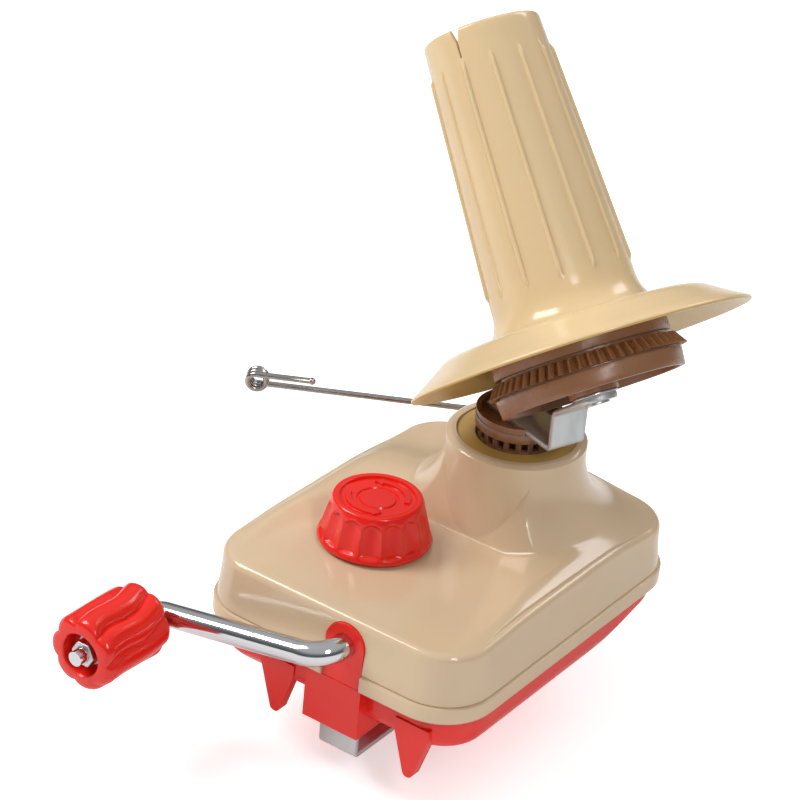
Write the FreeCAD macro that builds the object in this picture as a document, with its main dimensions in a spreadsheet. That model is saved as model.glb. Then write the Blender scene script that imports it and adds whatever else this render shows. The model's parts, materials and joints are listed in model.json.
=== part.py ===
import FreeCAD, Part
import math
import os
import Sketcher

# Hand-cranked yarn ball winder.  Millimetres.
# Origin: on the upright spindle axis, in the plane where the base rests on the table.
# +X to the right of someone facing the crank, +Y away from the crank, +Z up.

DIMENSIONS = {
    # housing
    "cover_left": 60.3, "cover_right": 44.2, "cover_front": 89.8, "cover_back": 42.7,
    "corner_radius": 19.0, "edge_height": 13.5, "deck_height": 37.0, "wall": 2.2,
    "lip_height": 5.6, "lip_step": 0.5, "draft_angle": 5.0,
    "neck_radius": 23.1, "neck_height": 66.7, "bell_radius": 41.0, "bell_curve": 26.4,
    "dish_radius": 19.6, "ledge_height": 66.0, "well_radius": 13.4, "dish_floor": 60.0,
    "bush_radius": 8.0,
    "tray_gap": 3.1, "tray_front_gap": 5.0, "tray_top": 17.0, "tray_floor": 2.0,
    "tray_round": 5.2, "rear_rise_start": 15.0, "rear_rise": 11.0,
    # clamp
    "knob_left": 21.3, "knob_front": 45.4, "knob_base": 38.1, "knob_radius": 18.7,
    "knob_top_radius": 14.6, "knob_rise": 15.2, "knob_room": 19.4, "clamp_screw_radius": 3.0,
    "strip_left": 9.0, "strip_width": 14.4, "strip_thickness": 2.0,
    "strip_front": 85.2, "leg_height": 13.0, "jaw_drop": 15.5, "jaw_reach": 45.0,
    "shroud_left": 13.5, "shroud_right": 7.7, "shroud_front": 88.8, "shroud_back": 74.7,
    "shroud_drop": 4.9, "fin_half_width": 6.4, "fin_drop": 10.6,
    # crank
    "crank_height": 27.4, "rod_radius": 4.0, "arm_front": 98.8, "arm_length": 68.7,
    "crank_bend": 9.0, "grip_bend": 6.0, "arm_droop": 10.9, "shaft_end": 9.0,
    "spindle_radius": 2.5, "grip_radius": 12.8, "grip_back": 103.8, "grip_front": 133.8,
    # gears
    "running_gap": 0.05, "drive_cone": 21.35, "drive_face": 7.0,
    "spool_cone": 57.0, "spool_face": 5.0,
    # turning arm and spool
    "apex_height": 140.5, "spool_tilt": 39.3, "arm_heading": -19.3,
    "post_radius": 3.0, "post_neck_radius": 2.5, "sleeve_radius": 6.0, "sleeve_tip_radius": 4.2,
    "cup_radius": 14.2, "cup_bottom": 69.9, "cup_floor": 73.2, "cup_top": 75.3,
    "skirt_radius": 12.8, "skirt_bottom": 62.9, "window_bottom": 66.2,
    "arm_width": 13.5, "arm_sheet": 2.0, "arm_reach": 25.3, "web_top": 86.6, "seat_start": 16.2,
    "seat_depth": 55.6, "flange_top": 48.5, "flange_bottom": 54.2,
    "flange_top_radius": 30.2, "flange_bottom_radius": 29.6, "flange_mouth_radius": 28.0,
    "gear_hub_radius": 28.5,
    "axle_radius": 3.0,
    "plate_radius": 55.2, "plate_rim_depth": 40.7, "plate_flat_depth": 31.4,
    "plate_crease_radius": 41.0, "plate_wall": 2.0, "shell_wall": 1.8,
    "spool_foot_radius": 23.2, "spool_top_radius": 18.8, "spool_rise": 64.5,
    "rib_foot": -18.0, "rib_head": 53.4,
    # yarn guide
    "guide_left": 2.0, "guide_back": 32.0, "guide_height": 57.0, "guide_reach": 105.7,
    "wire_radius": 1.0, "eyelet_radius": 3.0, "guide_heading": 210.3, "guide_tail": 18.5,
}
FLUTES = 15
GRIP_LOBES = 6
SPOOL_RIBS = 13
FIRST_RIB_ANGLE = -33.4
SKIRT_WINDOWS = 20
EYELET_TURNS = 2.5
DRIVE_TEETH = 45
PINION_TEETH = 15
SPOOL_TEETH = 60
SUN_TEETH = 12
TOOTH_TIP_SHARE = 0.10
TOOTH_ROOT_SHARE = 0.32
X_AXIS = FreeCAD.Vector(1, 0, 0)
Y_AXIS = FreeCAD.Vector(0, 1, 0)
Z_AXIS = FreeCAD.Vector(0, 0, 1)
TURNS = {"X": (Y_AXIS, 90), "Y": (X_AXIS, -90), "Z": (Z_AXIS, 0)}


class Size:
    """A number that keeps the spreadsheet expression it is worked out from."""

    def __init__(self, value, text):
        self.value = value
        self.text = text

    def __add__(self, other):
        return Size(self.value + number(other), "(%s + %s)" % (self.text, text(other)))

    def __radd__(self, other):
        return self + other

    def __sub__(self, other):
        return Size(self.value - number(other), "(%s - %s)" % (self.text, text(other)))

    def __rsub__(self, other):
        return Size(number(other) - self.value, "(%s - %s)" % (text(other), self.text))

    def __mul__(self, other):
        return Size(self.value * number(other), "(%s * %s)" % (self.text, text(other)))

    def __rmul__(self, other):
        return self * other

    def __neg__(self):
        return Size(-self.value, "(0 - %s)" % self.text)


def number(size):
    return size.value if isinstance(size, Size) else float(size)


def text(size):
    return size.text if isinstance(size, Size) else "%.6f" % size


class Dimensions:
    """Every driving dimension as a Size, read by name."""

    def __init__(self, values):
        for name, value in values.items():
            setattr(self, name, Size(value, "Sizes." + name))


dim = Dimensions(DIMENSIONS)
doc = FreeCAD.newDocument("ball_winder")
nodes = []


def make_sheet():
    sheet = doc.addObject("Spreadsheet::Sheet", "Sizes")
    for row, (name, value) in enumerate(DIMENSIONS.items(), start=1):
        sheet.set("A%d" % row, name)
        sheet.set("B%d" % row, str(value))
        sheet.setAlias("B%d" % row, name)
    doc.recompute()


def bind(thing, prop, size):
    if isinstance(size, Size):
        thing.setExpression(prop, size.text)
    else:
        setattr(thing, prop, size)


def place(thing, x=0, y=0, z=0, rotation=None):
    """Puts an object at (x, y, z) and ties the coordinates that are Sizes to the sheet."""
    spot = FreeCAD.Vector(number(x), number(y), number(z))
    thing.Placement = FreeCAD.Placement(spot, rotation or FreeCAD.Rotation())
    for axis, size in (("x", x), ("y", y), ("z", z)):
        if isinstance(size, Size):
            thing.setExpression("Placement.Base." + axis, size.text)
    return thing


def node(thing, name):
    """Marks an object as a finished sub-part."""
    thing.Label = name
    nodes.append(thing)
    return thing


def cylinder(name, radius, height, x=0, y=0, z=0, axis="Z"):
    solid = doc.addObject("Part::Cylinder", name)
    bind(solid, "Radius", radius)
    bind(solid, "Height", height)
    return place(solid, x, y, z, FreeCAD.Rotation(*TURNS[axis]))


def cone(name, radius_low, radius_high, height, x=0, y=0, z=0, axis="Z"):
    solid = doc.addObject("Part::Cone", name)
    bind(solid, "Radius1", radius_low)
    bind(solid, "Radius2", radius_high)
    bind(solid, "Height", height)
    return place(solid, x, y, z, FreeCAD.Rotation(*TURNS[axis]))


def box(name, x_low, x_high, y_low, y_high, z_low, z_high):
    solid = doc.addObject("Part::Box", name)
    bind(solid, "Length", x_high - x_low)
    bind(solid, "Width", y_high - y_low)
    bind(solid, "Height", z_high - z_low)
    return place(solid, x_low, y_low, z_low)


def hexagon(name, across_flats, height, x=0, y=0, z=0, axis="Z"):
    solid = doc.addObject("Part::Prism", name)
    solid.Polygon = 6
    bind(solid, "Circumradius", across_flats / math.sqrt(3))
    bind(solid, "Height", height)
    return place(solid, x, y, z, FreeCAD.Rotation(*TURNS[axis]))


def fuse(name, *solids):
    joined = doc.addObject("Part::MultiFuse", name)
    joined.Shapes = list(solids)
    return joined


def cut(name, base, *tools):
    result = doc.addObject("Part::Cut", name)
    result.Base = base
    result.Tool = tools[0] if len(tools) == 1 else fuse(name + "_tools", *tools)
    return result


def ring(name, radius_out, radius_in, height, x=0, y=0, z=0, axis="Z"):
    outside = cylinder(name + "_outside", radius_out, height, x, y, z, axis)
    inside = cylinder(name + "_inside", radius_in, height, x, y, z, axis)
    return cut(name, outside, inside)


def around(count, start=0.0):
    return [start + index * 360.0 / count for index in range(count)]


def turned(thing, angle, axis=Z_AXIS):
    """Turns a placed object about an axis through the origin."""
    spin = FreeCAD.Placement(FreeCAD.Vector(), FreeCAD.Rotation(axis, angle))
    thing.Placement = spin.multiply(thing.Placement)
    return thing


# ---------------------------------------------------------------- sketches

def origin_plane(body, role):
    return next(item for item in body.Origin.OriginFeatures if item.Role == role)


def new_sketch(body, name, role, offset=0):
    sketch = body.newObject("Sketcher::SketchObject", name)
    sketch.AttachmentSupport = [(origin_plane(body, role), "")]
    sketch.MapMode = "FlatFace"
    if isinstance(offset, Size):
        sketch.setExpression("AttachmentOffset.Base.z", offset.text)
    sketch.AttachmentOffset.Base.z = number(offset)
    return sketch


def pin_point(sketch, geometry, end, x, y):
    """Holds one end of a sketch line or arc at (x, y), tied to the sheet."""
    for kind, axis, size in (("DistanceX", -2, x), ("DistanceY", -1, y)):
        if number(size) == 0:
            sketch.addConstraint(Sketcher.Constraint("PointOnObject", geometry, end, axis))
            continue
        index = sketch.addConstraint(Sketcher.Constraint(kind, -1, 1, geometry, end, number(size)))
        if isinstance(size, Size):
            sketch.setExpression("Constraints[%d]" % index, size.text)


def bulge_centre(start, finish, radius, side):
    middle = (start + finish) * 0.5
    half = (finish - start) * 0.5
    away = math.sqrt(radius ** 2 - half.Length ** 2)
    normal = FreeCAD.Vector(-half.y, half.x, 0).normalize()
    return middle + normal * away * side


def add_arc(sketch, start, finish, radius, side):
    """Arc from start to finish; side 1 puts its centre on the left of the chord, -1 on the right."""
    centre = bulge_centre(start, finish, radius, side)
    first = math.atan2(start.y - centre.y, start.x - centre.x)
    last = math.atan2(finish.y - centre.y, finish.x - centre.x)
    circle = Part.Circle(centre, Z_AXIS, radius)
    if side > 0:
        return sketch.addGeometry(Part.ArcOfCircle(circle, first, last)), 1, 2
    return sketch.addGeometry(Part.ArcOfCircle(circle, last, first)), 2, 1


def outline(sketch, points, closed=True):
    """Lines through points (x, y); a point with (x, y, radius, side) is reached by an arc."""
    spots = [FreeCAD.Vector(number(point[0]), number(point[1]), 0) for point in points]
    pieces = []
    for index in range(1, len(points) + (1 if closed else 0)):
        target = index % len(points)
        if len(points[target]) == 4:
            radius, side = points[target][2:]
            piece = add_arc(sketch, spots[index - 1], spots[target], number(radius), side)
            rule = Sketcher.Constraint("Radius", piece[0], number(radius))
            sketch.setExpression("Constraints[%d]" % sketch.addConstraint(rule), text(radius))
        else:
            line = Part.LineSegment(spots[index - 1], spots[target])
            piece = (sketch.addGeometry(line), 1, 2)
        pieces.append(piece)
        pin_point(sketch, piece[0], piece[2], points[target][0], points[target][1])
    if not closed:
        pin_point(sketch, pieces[0][0], pieces[0][1], points[0][0], points[0][1])
    for index, piece in enumerate(pieces):
        before = pieces[index - 1]
        if index or closed:
            joint = Sketcher.Constraint("Coincident", before[0], before[2], piece[0], piece[1])
            sketch.addConstraint(joint)
    return sketch


def rounded_points(left, right, front, back, radius):
    """Corner-rounded rectangle as an outline, anticlockwise from the front left."""
    return [
        (right - radius, -front), (right, -front + radius, radius, 1),
        (right, back - radius), (right - radius, back, radius, 1),
        (-left + radius, back), (-left, back - radius, radius, 1),
        (-left, -front + radius), (-left + radius, -front, radius, 1)]


def new_body(name):
    return doc.addObject("PartDesign::Body", name)


def pad(body, sketch, length, taper=0):
    feature = body.newObject("PartDesign::Pad", sketch.Name + "_pad")
    feature.Profile = sketch
    bind(feature, "Length", length)
    if isinstance(taper, Size):
        feature.setExpression("TaperAngle", taper.text)
    sketch.Visibility = False
    return feature


def pocket_up(body, sketch, length, taper=0):
    """Pocket that removes material above its sketch."""
    feature = body.newObject("PartDesign::Pocket", sketch.Name + "_pocket")
    feature.Profile = sketch
    feature.Reversed = True
    bind(feature, "Length", length)
    if isinstance(taper, Size):
        feature.setExpression("TaperAngle", taper.text)
    return feature


def revolve(body, sketch, kind="PartDesign::Revolution"):
    feature = body.newObject(kind, sketch.Name + "_turn")
    feature.Profile = sketch
    feature.ReferenceAxis = (sketch, ["V_Axis"])
    feature.Angle = 360
    return feature


def revolved_body(name, points):
    body = new_body(name)
    revolve(body, outline(new_sketch(body, name + "_section", "XZ_Plane"), points))
    return body


# ---------------------------------------------------------------- housing

SCREW_SPOTS = [(-50.0, -72.0, 1.2), (34.0, -72.0, 1.2), (-50.0, 24.0, 8.6), (34.0, 24.0, 8.6)]


def cover_shell():
    body = new_body("cover_shell")
    left, right, front, back = dim.cover_left, dim.cover_right, dim.cover_front, dim.cover_back
    lip = new_sketch(body, "lip_outline", "XY_Plane", dim.edge_height)
    outline(lip, rounded_points(left, right, front, back, dim.corner_radius))
    pad(body, lip, dim.lip_height)
    step = dim.lip_step
    side = new_sketch(body, "side_outline", "XY_Plane", dim.edge_height)
    outline(side, rounded_points(
        left - step, right - step, front - step, back - step, dim.corner_radius - step))
    pad(body, side, dim.deck_height - dim.edge_height, -dim.draft_angle)
    bell = new_sketch(body, "bell_section", "XZ_Plane")
    outline(bell, [
        (0, dim.deck_height - 1.0), (dim.bell_radius, dim.deck_height - 1.0),
        (dim.bell_radius, dim.deck_height),
        (dim.neck_radius, dim.neck_height - 4.7, dim.bell_curve, -1),
        (dim.neck_radius, dim.neck_height - 1.0), (dim.neck_radius - 1.7, dim.neck_height),
        (0, dim.neck_height)])
    revolve(body, bell)
    inset = dim.wall + dim.lip_step
    inside = new_sketch(body, "inside_outline", "XY_Plane", dim.edge_height)
    outline(inside, rounded_points(
        left - inset, right - inset, front - inset, back - inset, dim.corner_radius - inset))
    pocket_up(body, inside, dim.deck_height - dim.edge_height - dim.wall, -dim.draft_angle)
    hollow = new_sketch(body, "bell_hollow", "XZ_Plane")
    inner = dim.bell_radius - dim.wall
    outline(hollow, [
        (0, dim.edge_height + 10), (inner, dim.edge_height + 10), (inner, dim.deck_height - 2.0),
        (dim.neck_radius - dim.wall, dim.dish_floor - 3.0, dim.bell_curve, -1),
        (dim.bush_radius + 2.5, dim.dish_floor - 3.0), (dim.bush_radius + 2.5, dim.dish_floor - 9.0),
        (0, dim.dish_floor - 9.0)])
    revolve(body, hollow, "PartDesign::Groove")
    dish = new_sketch(body, "dish_section", "XZ_Plane")
    outline(dish, [
        (0, dim.dish_floor - 10.0), (dim.bush_radius, dim.dish_floor - 10.0),
        (dim.bush_radius, dim.dish_floor), (dim.well_radius, dim.dish_floor),
        (dim.well_radius, dim.ledge_height), (dim.dish_radius, dim.ledge_height),
        (dim.dish_radius, dim.neck_height + 0.1), (0, dim.neck_height + 0.1)])
    revolve(body, dish, "PartDesign::Groove")
    return body


def screw_post(spot, low, high, radius):
    return cylinder("screw_post", radius, high - low, spot[0], spot[1], low)


def knob_recess_wall(knob_x, knob_y):
    """Wall that closes the bell where the round recess for the knob bites into it."""
    post = cylinder("recess_post", dim.knob_room + dim.wall, 14.0, knob_x, knob_y, dim.deck_height - dim.wall)
    bell = cone("recess_bell", dim.bell_radius, dim.bell_radius - 17.0, 17.0, 0, 0, dim.deck_height - dim.wall)
    wall = doc.addObject("Part::MultiCommon", "recess_wall")
    wall.Shapes = [post, bell]
    return wall


def make_top_cover():
    deck = dim.deck_height
    knob_x, knob_y = -dim.knob_left, -dim.knob_front
    posts = [screw_post(spot, dim.tray_top + 0.3, deck - 1.0, 3.6) for spot in SCREW_SPOTS]
    screw_tube = cylinder("screw_tube", 6.0, 10.0, knob_x, knob_y, deck - 11.0)
    guide_boss = cylinder("guide_boss", 5.0, 14.0, -dim.guide_left, dim.guide_back, deck - 1.0)
    wall = knob_recess_wall(knob_x, knob_y)
    solid = fuse("cover_with_posts", cover_shell(), wall, screw_tube, guide_boss, *posts)
    knob_room = cylinder("knob_room", dim.knob_room, 14.0, knob_x, knob_y, deck)
    slot_side = box("slot_side", -7.5, 7.5, -dim.cover_front - 1, -dim.cover_front + 8, 0, dim.crank_height)
    slot_arch = cylinder("slot_arch", 7.5, 9.0, 0, -dim.cover_front - 1, dim.crank_height, "Y")
    screw_hole = cylinder("screw_hole", 3.3, 20.0, knob_x, knob_y, deck - 15.0)
    guide_hole = cylinder("guide_hole", 2.2, 13.0, -dim.guide_left, dim.guide_back, deck + 0.5)
    pilots = [
        cylinder("pilot", 1.5, 13.0 if spot in SCREW_SPOTS[:2] else 14.5, spot[0], spot[1], dim.tray_top)
        for spot in SCREW_SPOTS]
    cover = cut("top_cover", solid, knob_room, slot_side, slot_arch, screw_hole, guide_hole, *pilots)
    return node(cover, "top_cover")


def rear_wedge(name, lift):
    """Solid under the rising rear of the tray, as a triangle in side view."""
    body = new_body(name)
    sketch = new_sketch(body, name + "_side", "YZ_Plane", -80)
    back = dim.cover_back + 20
    run = number(dim.cover_back - dim.tray_gap + dim.rear_rise_start)
    slope = dim.rear_rise * (1.0 / run)
    rise = slope * (number(back) + number(dim.rear_rise_start))
    start = -dim.rear_rise_start
    outline(sketch, [(start, lift), (back, rise + lift), (back, -20), (start, -20)])
    pad(body, sketch, 160)
    return body


def tray_block(name, inset, floor):
    body = new_body(name)
    gap = dim.tray_gap + inset
    sketch = new_sketch(body, name + "_outline", "XY_Plane", floor)
    outline(sketch, rounded_points(
        dim.cover_left - gap, dim.cover_right - gap, dim.cover_front - dim.tray_front_gap - inset,
        dim.cover_back - gap, dim.corner_radius - gap))
    feature = pad(body, sketch, dim.tray_top + inset - floor)
    doc.recompute()
    bottom = [
        "Edge%d" % (index + 1) for index, edge in enumerate(feature.Shape.Edges)
        if edge.BoundBox.ZMax < number(floor) + 0.01]
    rounding = body.newObject("PartDesign::Fillet", name + "_rounding")
    rounding.Base = (feature, bottom)
    bind(rounding, "Radius", dim.tray_round - inset)
    return body


def tray_fin(name, centre):
    """Pointed fin that hangs below the front edge."""
    body = new_body(name)
    sketch = new_sketch(body, name + "_front", "XZ_Plane", dim.cover_front - 6.4)
    half, low = dim.fin_half_width, -dim.fin_drop
    outline(sketch, [
        (centre - half, 8.0), (centre - half, 4.0), (centre - 1.9, low), (centre + 1.9, low, 2.0, 1),
        (centre + half, 4.0), (centre + half, 8.0)])
    feature = pad(body, sketch, 4.0)
    feature.Midplane = True
    return body


def make_base_tray():
    wedge = rear_wedge("under_rear", 0)
    outside = cut("tray_outside", tray_block("tray_outer", 0, 0), wedge)
    inside = cut("tray_inside", tray_block("tray_inner", dim.tray_floor, dim.tray_floor),
                 rear_wedge("over_rear", dim.tray_floor + 0.2))
    tub = cut("tub", outside, inside)
    front, back = -dim.shroud_front, -dim.shroud_back
    left, right = -dim.shroud_left, dim.shroud_right
    shroud = box("shroud", left, right, front, back, -dim.shroud_drop, dim.edge_height - 0.2)
    bulkhead = box("bulkhead", -7.3, 7.3, front + 0.2, front + 2.4, 5, dim.crank_height)
    arch = cylinder("bulkhead_arch", 7.3, 8.6, 0, front + 0.2, dim.crank_height, "Y")
    pillar = box("bearing_pillar", -7.5, 7.5, -31, -25, 1, dim.crank_height)
    pillar_top = cylinder("pillar_top", 7.5, 6.0, 0, -31, dim.crank_height, "Y")
    post_boss = cylinder("post_boss", 8.0, 18.0, 0, 0, 0)
    posts = [screw_post(spot, spot[2] - 0.2, dim.tray_top, 3.6) for spot in SCREW_SPOTS]
    fins = [tray_fin("left_fin", -26.9), tray_fin("right_fin", 25.5)]
    solid = fuse("tray_solid", tub, shroud, bulkhead, arch, pillar, pillar_top, post_boss, *posts, *fins)
    bore = dim.rod_radius + dim.running_gap
    passage = box("strip_passage", left + 2, right - 2, front + 2, back - 2, -6, 19.6)
    leg_room = box("leg_room", left + 2, right - 2, back - 2.5, back + 0.5, dim.tray_floor, 19.6)
    shaft_hole = cylinder("shaft_hole", bore, 70, 0, -92, dim.crank_height, "Y")
    post_hole = cylinder("post_hole", dim.post_radius, 12.5, 0, 0, 5.6)
    gear_room = cylinder("gear_room", 22.2, 12.3, 0, -16.4, dim.crank_height, "Y")
    holes = [cylinder("screw_way", 1.6, 20, spot[0], spot[1], 0) for spot in SCREW_SPOTS]
    seats = [cylinder("screw_seat", 3.0, spot[2] + 4, spot[0], spot[1], -2) for spot in SCREW_SPOTS]
    tray = cut("base_tray", solid, passage, leg_room, shaft_hole, post_hole, gear_room, *holes, *seats)
    return node(tray, "base_tray")


def make_cover_screws():
    screws = []
    for x, y, seat in SCREW_SPOTS:
        head = cylinder("screw_head", 2.75, 1.9, x, y, seat + 0.1)
        shank = cylinder("screw_shank", 1.5, 20.0, x, y, seat + 2)
        screws.append(fuse("cover_screw", head, shank))
    group = doc.addObject("Part::Compound", "cover_screws")
    group.Links = screws
    return node(group, "cover_screws")


# ---------------------------------------------------------------- clamp

def make_clamp_bracket():
    left = -dim.strip_left
    right = dim.strip_width - dim.strip_left
    front = -dim.strip_front
    sheet = dim.strip_thickness
    jaw_low = -dim.jaw_drop
    jaw = box("jaw", left, right, front, front + dim.jaw_reach, jaw_low, jaw_low + sheet)
    web = box("web", left, right, front, front + sheet, jaw_low, dim.leg_height + sheet)
    tip = front + dim.jaw_reach
    tooth = box("jaw_tooth", left, right, tip - sheet, tip, jaw_low, jaw_low + sheet + 1.5)
    leg = new_body("clamp_leg")
    sketch = new_sketch(leg, "leg_outline", "XY_Plane", dim.leg_height)
    knob_x, knob_y = -dim.knob_left, -dim.knob_front
    outline(sketch, [
        (left, front), (right, front), (right, front + 22), (knob_x + 9, knob_y + 9),
        (knob_x - 9, knob_y + 9), (knob_x - 9, knob_y - 7), (left, front + 18)])
    pad(leg, sketch, sheet)
    hole = cylinder("thread", dim.clamp_screw_radius + dim.running_gap, 8, knob_x, knob_y, dim.leg_height - 3)
    return node(cut("clamp_bracket", fuse("clamp_strip", jaw, web, leg, tooth), hole), "clamp_bracket")


def make_clamp_nut():
    x, y, z = -dim.knob_left, -dim.knob_front, dim.leg_height + dim.strip_thickness
    blank = hexagon("nut_blank", 10.0, 4.8, x, y, z)
    hole = cylinder("nut_thread", dim.clamp_screw_radius + dim.running_gap, 6, x, y, z - 0.5)
    return node(cut("clamp_nut", blank, hole), "clamp_nut")


def make_clamp_screw():
    x, y = -dim.knob_left, -dim.knob_front
    shank = cylinder("clamp_shank", dim.clamp_screw_radius, dim.knob_base - 2.6 + 3.0, x, y, 2.6)
    head = hexagon("clamp_head", 10.0, 5.0, x, y, dim.knob_base + 3.0)
    return node(fuse("clamp_screw", shank, head), "clamp_screw")


def make_clamp_washer():
    washer = ring("clamp_washer", 8.0, 3.3, 1.0, -dim.knob_left, -dim.knob_front, dim.deck_height)
    return node(washer, "clamp_washer")


def make_clamp_knob():
    x, y, z = -dim.knob_left, -dim.knob_front, dim.knob_base
    blank = cone("knob_blank", dim.knob_radius, dim.knob_top_radius, dim.knob_rise, 0, 0, 0)
    flutes = []
    narrowing = number(dim.knob_top_radius - dim.knob_radius)
    lean = FreeCAD.Rotation(Y_AXIS, math.degrees(math.atan2(narrowing, number(dim.knob_rise))))
    for angle in around(FLUTES):
        flute = cylinder("flute", 2.0, 12.5)
        place(flute, dim.knob_radius + 0.6, 0, -1, lean)
        flutes.append(turned(flute, angle))
    recess = cylinder("knob_recess", dim.knob_top_radius - 2.2, 1.0, 0, 0, dim.knob_rise - 0.8)
    shank_hole = cylinder("knob_hole", dim.clamp_screw_radius, 4, 0, 0, -0.5)
    head_room = hexagon("head_room", 10.0, 5.0, 0, 0, 3.0)
    under = cut("knob_under", cylinder("under_out", dim.knob_radius - 3.5, 5.0, 0, 0, -0.01),
                cylinder("under_in", 9.0, 6.0, 0, 0, -0.5))
    knob = cut("clamp_knob", blank, recess, shank_hole, head_room, under, *flutes)
    return node(place(knob, x, y, z), "clamp_knob")


# ---------------------------------------------------------------- crank

def crank_rod():
    """Steel rod: shaft along Y, arm along -X, and a short return towards -Y for the grip."""
    body = new_body("crank_rod")
    path = new_sketch(body, "rod_path", "XY_Plane")
    arm_y = -dim.arm_front
    outline(path, [
        (0, -dim.shaft_end), (0, arm_y + dim.crank_bend), (-dim.crank_bend, arm_y, dim.crank_bend, -1),
        (dim.grip_bend - dim.arm_length, arm_y),
        (-dim.arm_length, arm_y - dim.grip_bend, dim.grip_bend, 1),
        (-dim.arm_length, arm_y - dim.grip_bend - 1.2)], closed=False)
    section = new_sketch(body, "rod_section", "XZ_Plane", dim.shaft_end)
    circle = section.addGeometry(Part.Circle(FreeCAD.Vector(), Z_AXIS, number(dim.rod_radius)))
    section.addConstraint(Sketcher.Constraint("Coincident", circle, 3, -1, 1))
    radius = section.addConstraint(Sketcher.Constraint("Radius", circle, number(dim.rod_radius)))
    section.setExpression("Constraints[%d]" % radius, dim.rod_radius.text)
    pipe = body.newObject("PartDesign::AdditivePipe", "rod_pipe")
    pipe.Profile = section
    pipe.Spine = path
    return body


def make_crank_handle():
    reach = dim.arm_front + dim.grip_bend + 0.5
    spindle = cylinder("grip_spindle", dim.spindle_radius, 31.0, -dim.arm_length, -reach - 31.0, 0, "Y")
    rod = fuse("bent_rod", crank_rod(), spindle)
    place(rod, 0, 0, dim.crank_height, FreeCAD.Rotation(Y_AXIS, -number(dim.arm_droop)))
    pin_hole = cylinder("pin_hole", 1.25, 20, -10, -19.5, dim.crank_height, "X")
    return node(cut("crank_handle", rod, pin_hole), "crank_handle")


def grip_spot():
    droop = math.radians(number(dim.arm_droop))
    across = dim.arm_length * math.cos(droop)
    down = dim.arm_length * math.sin(droop)
    return -across, dim.crank_height - down


def make_crank_grip():
    x, z = grip_spot()
    length = dim.grip_front - dim.grip_back
    blank = cylinder("grip_blank", dim.grip_radius, length, 0, 0, 0)
    valleys = []
    for angle in around(GRIP_LOBES):
        valley = cylinder("valley", 5.0, length + 2, dim.grip_radius + 2.8, 0, -1)
        valleys.append(turned(valley, angle))
    bore = cylinder("grip_bore", dim.spindle_radius + dim.running_gap, length + 2, 0, 0, -1)
    nut_room = cylinder("nut_room", 7.0, 6.0, 0, 0, 0)
    rod_room = cylinder("rod_room", 4.8, 3.2, 0, 0, length - 3.2)
    solid = cut("crank_grip", blank, bore, nut_room, rod_room, *valleys)
    place(solid, x, -dim.grip_front, z, FreeCAD.Rotation(X_AXIS, -90))
    return node(solid, "crank_grip")


def make_grip_washer():
    x, z = grip_spot()
    washer = ring("grip_washer", 5.2, dim.spindle_radius, 1.0, x, -dim.grip_front + 4.9, z, "Y")
    return node(washer, "grip_washer")


def make_grip_nut():
    x, z = grip_spot()
    blank = hexagon("grip_nut_blank", 8.0, 4.0, x, -dim.grip_front + 0.9, z, "Y")
    hole = cylinder("grip_nut_hole", dim.spindle_radius, 6.0, x, -dim.grip_front, z, "Y")
    return node(cut("grip_nut", blank, hole), "grip_nut")


def make_shaft_clip():
    clip = ring("shaft_clip", 7.0, dim.rod_radius, 1.2, 0, -dim.shroud_front + 9.0, dim.crank_height, "Y")
    return node(clip, "shaft_clip")


# ---------------------------------------------------------------- bevel gears

def bevel_angles(teeth, mate_teeth, shaft_angle, cone_distance):
    """Pitch half-angle and the tip and root half-angles of one gear of a straight bevel pair."""
    spread = math.radians(shaft_angle)
    pitch = math.atan2(math.sin(spread), mate_teeth / teeth + math.cos(spread))
    module = 2 * cone_distance * math.sin(pitch) / teeth
    return pitch, pitch + module / cone_distance, pitch - 1.35 * module / cone_distance


def tooth_ring(teeth, tip_radius, root_radius, height, phase):
    """Closed polygon of trapezoid teeth, centred on the Z axis."""
    step = 2 * math.pi / teeth
    corners = []
    for index in range(teeth):
        middle = phase + index * step
        for share, radius in ((-TOOTH_ROOT_SHARE, root_radius), (-TOOTH_TIP_SHARE, tip_radius),
                              (TOOTH_TIP_SHARE, tip_radius), (TOOTH_ROOT_SHARE, root_radius)):
            angle = middle + share * step
            corners.append(FreeCAD.Vector(radius * math.cos(angle), radius * math.sin(angle), height))
    return Part.makePolygon(corners + corners[:1])


def bevel_teeth(teeth, mate_teeth, shaft_angle, cone_distance, face, phase):
    """Toothed frustum whose apex is the origin and whose large end looks towards +Z."""
    pitch, tip, root = bevel_angles(teeth, mate_teeth, shaft_angle, cone_distance)
    ends = []
    for distance in (cone_distance, cone_distance - face):
        height = distance * math.cos(pitch)
        ends.append(tooth_ring(teeth, height * math.tan(tip), height * math.tan(root), height, phase))
    return Part.makeLoft(ends, True, True)


def spin_cylinder(radius, low, high):
    return Part.makeCylinder(radius, high - low, FreeCAD.Vector(0, 0, low), Z_AXIS)


def gear_node(shape, name, placement):
    """Toothed blanks are lofts between many-cornered polygons, so they are shaped directly."""
    feature = doc.addObject("Part::Feature", name)
    feature.Shape = shape
    feature.Placement = placement
    return node(feature, name)


def sheet_value(name):
    return float(doc.getObject("Sizes").get(name))


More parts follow.
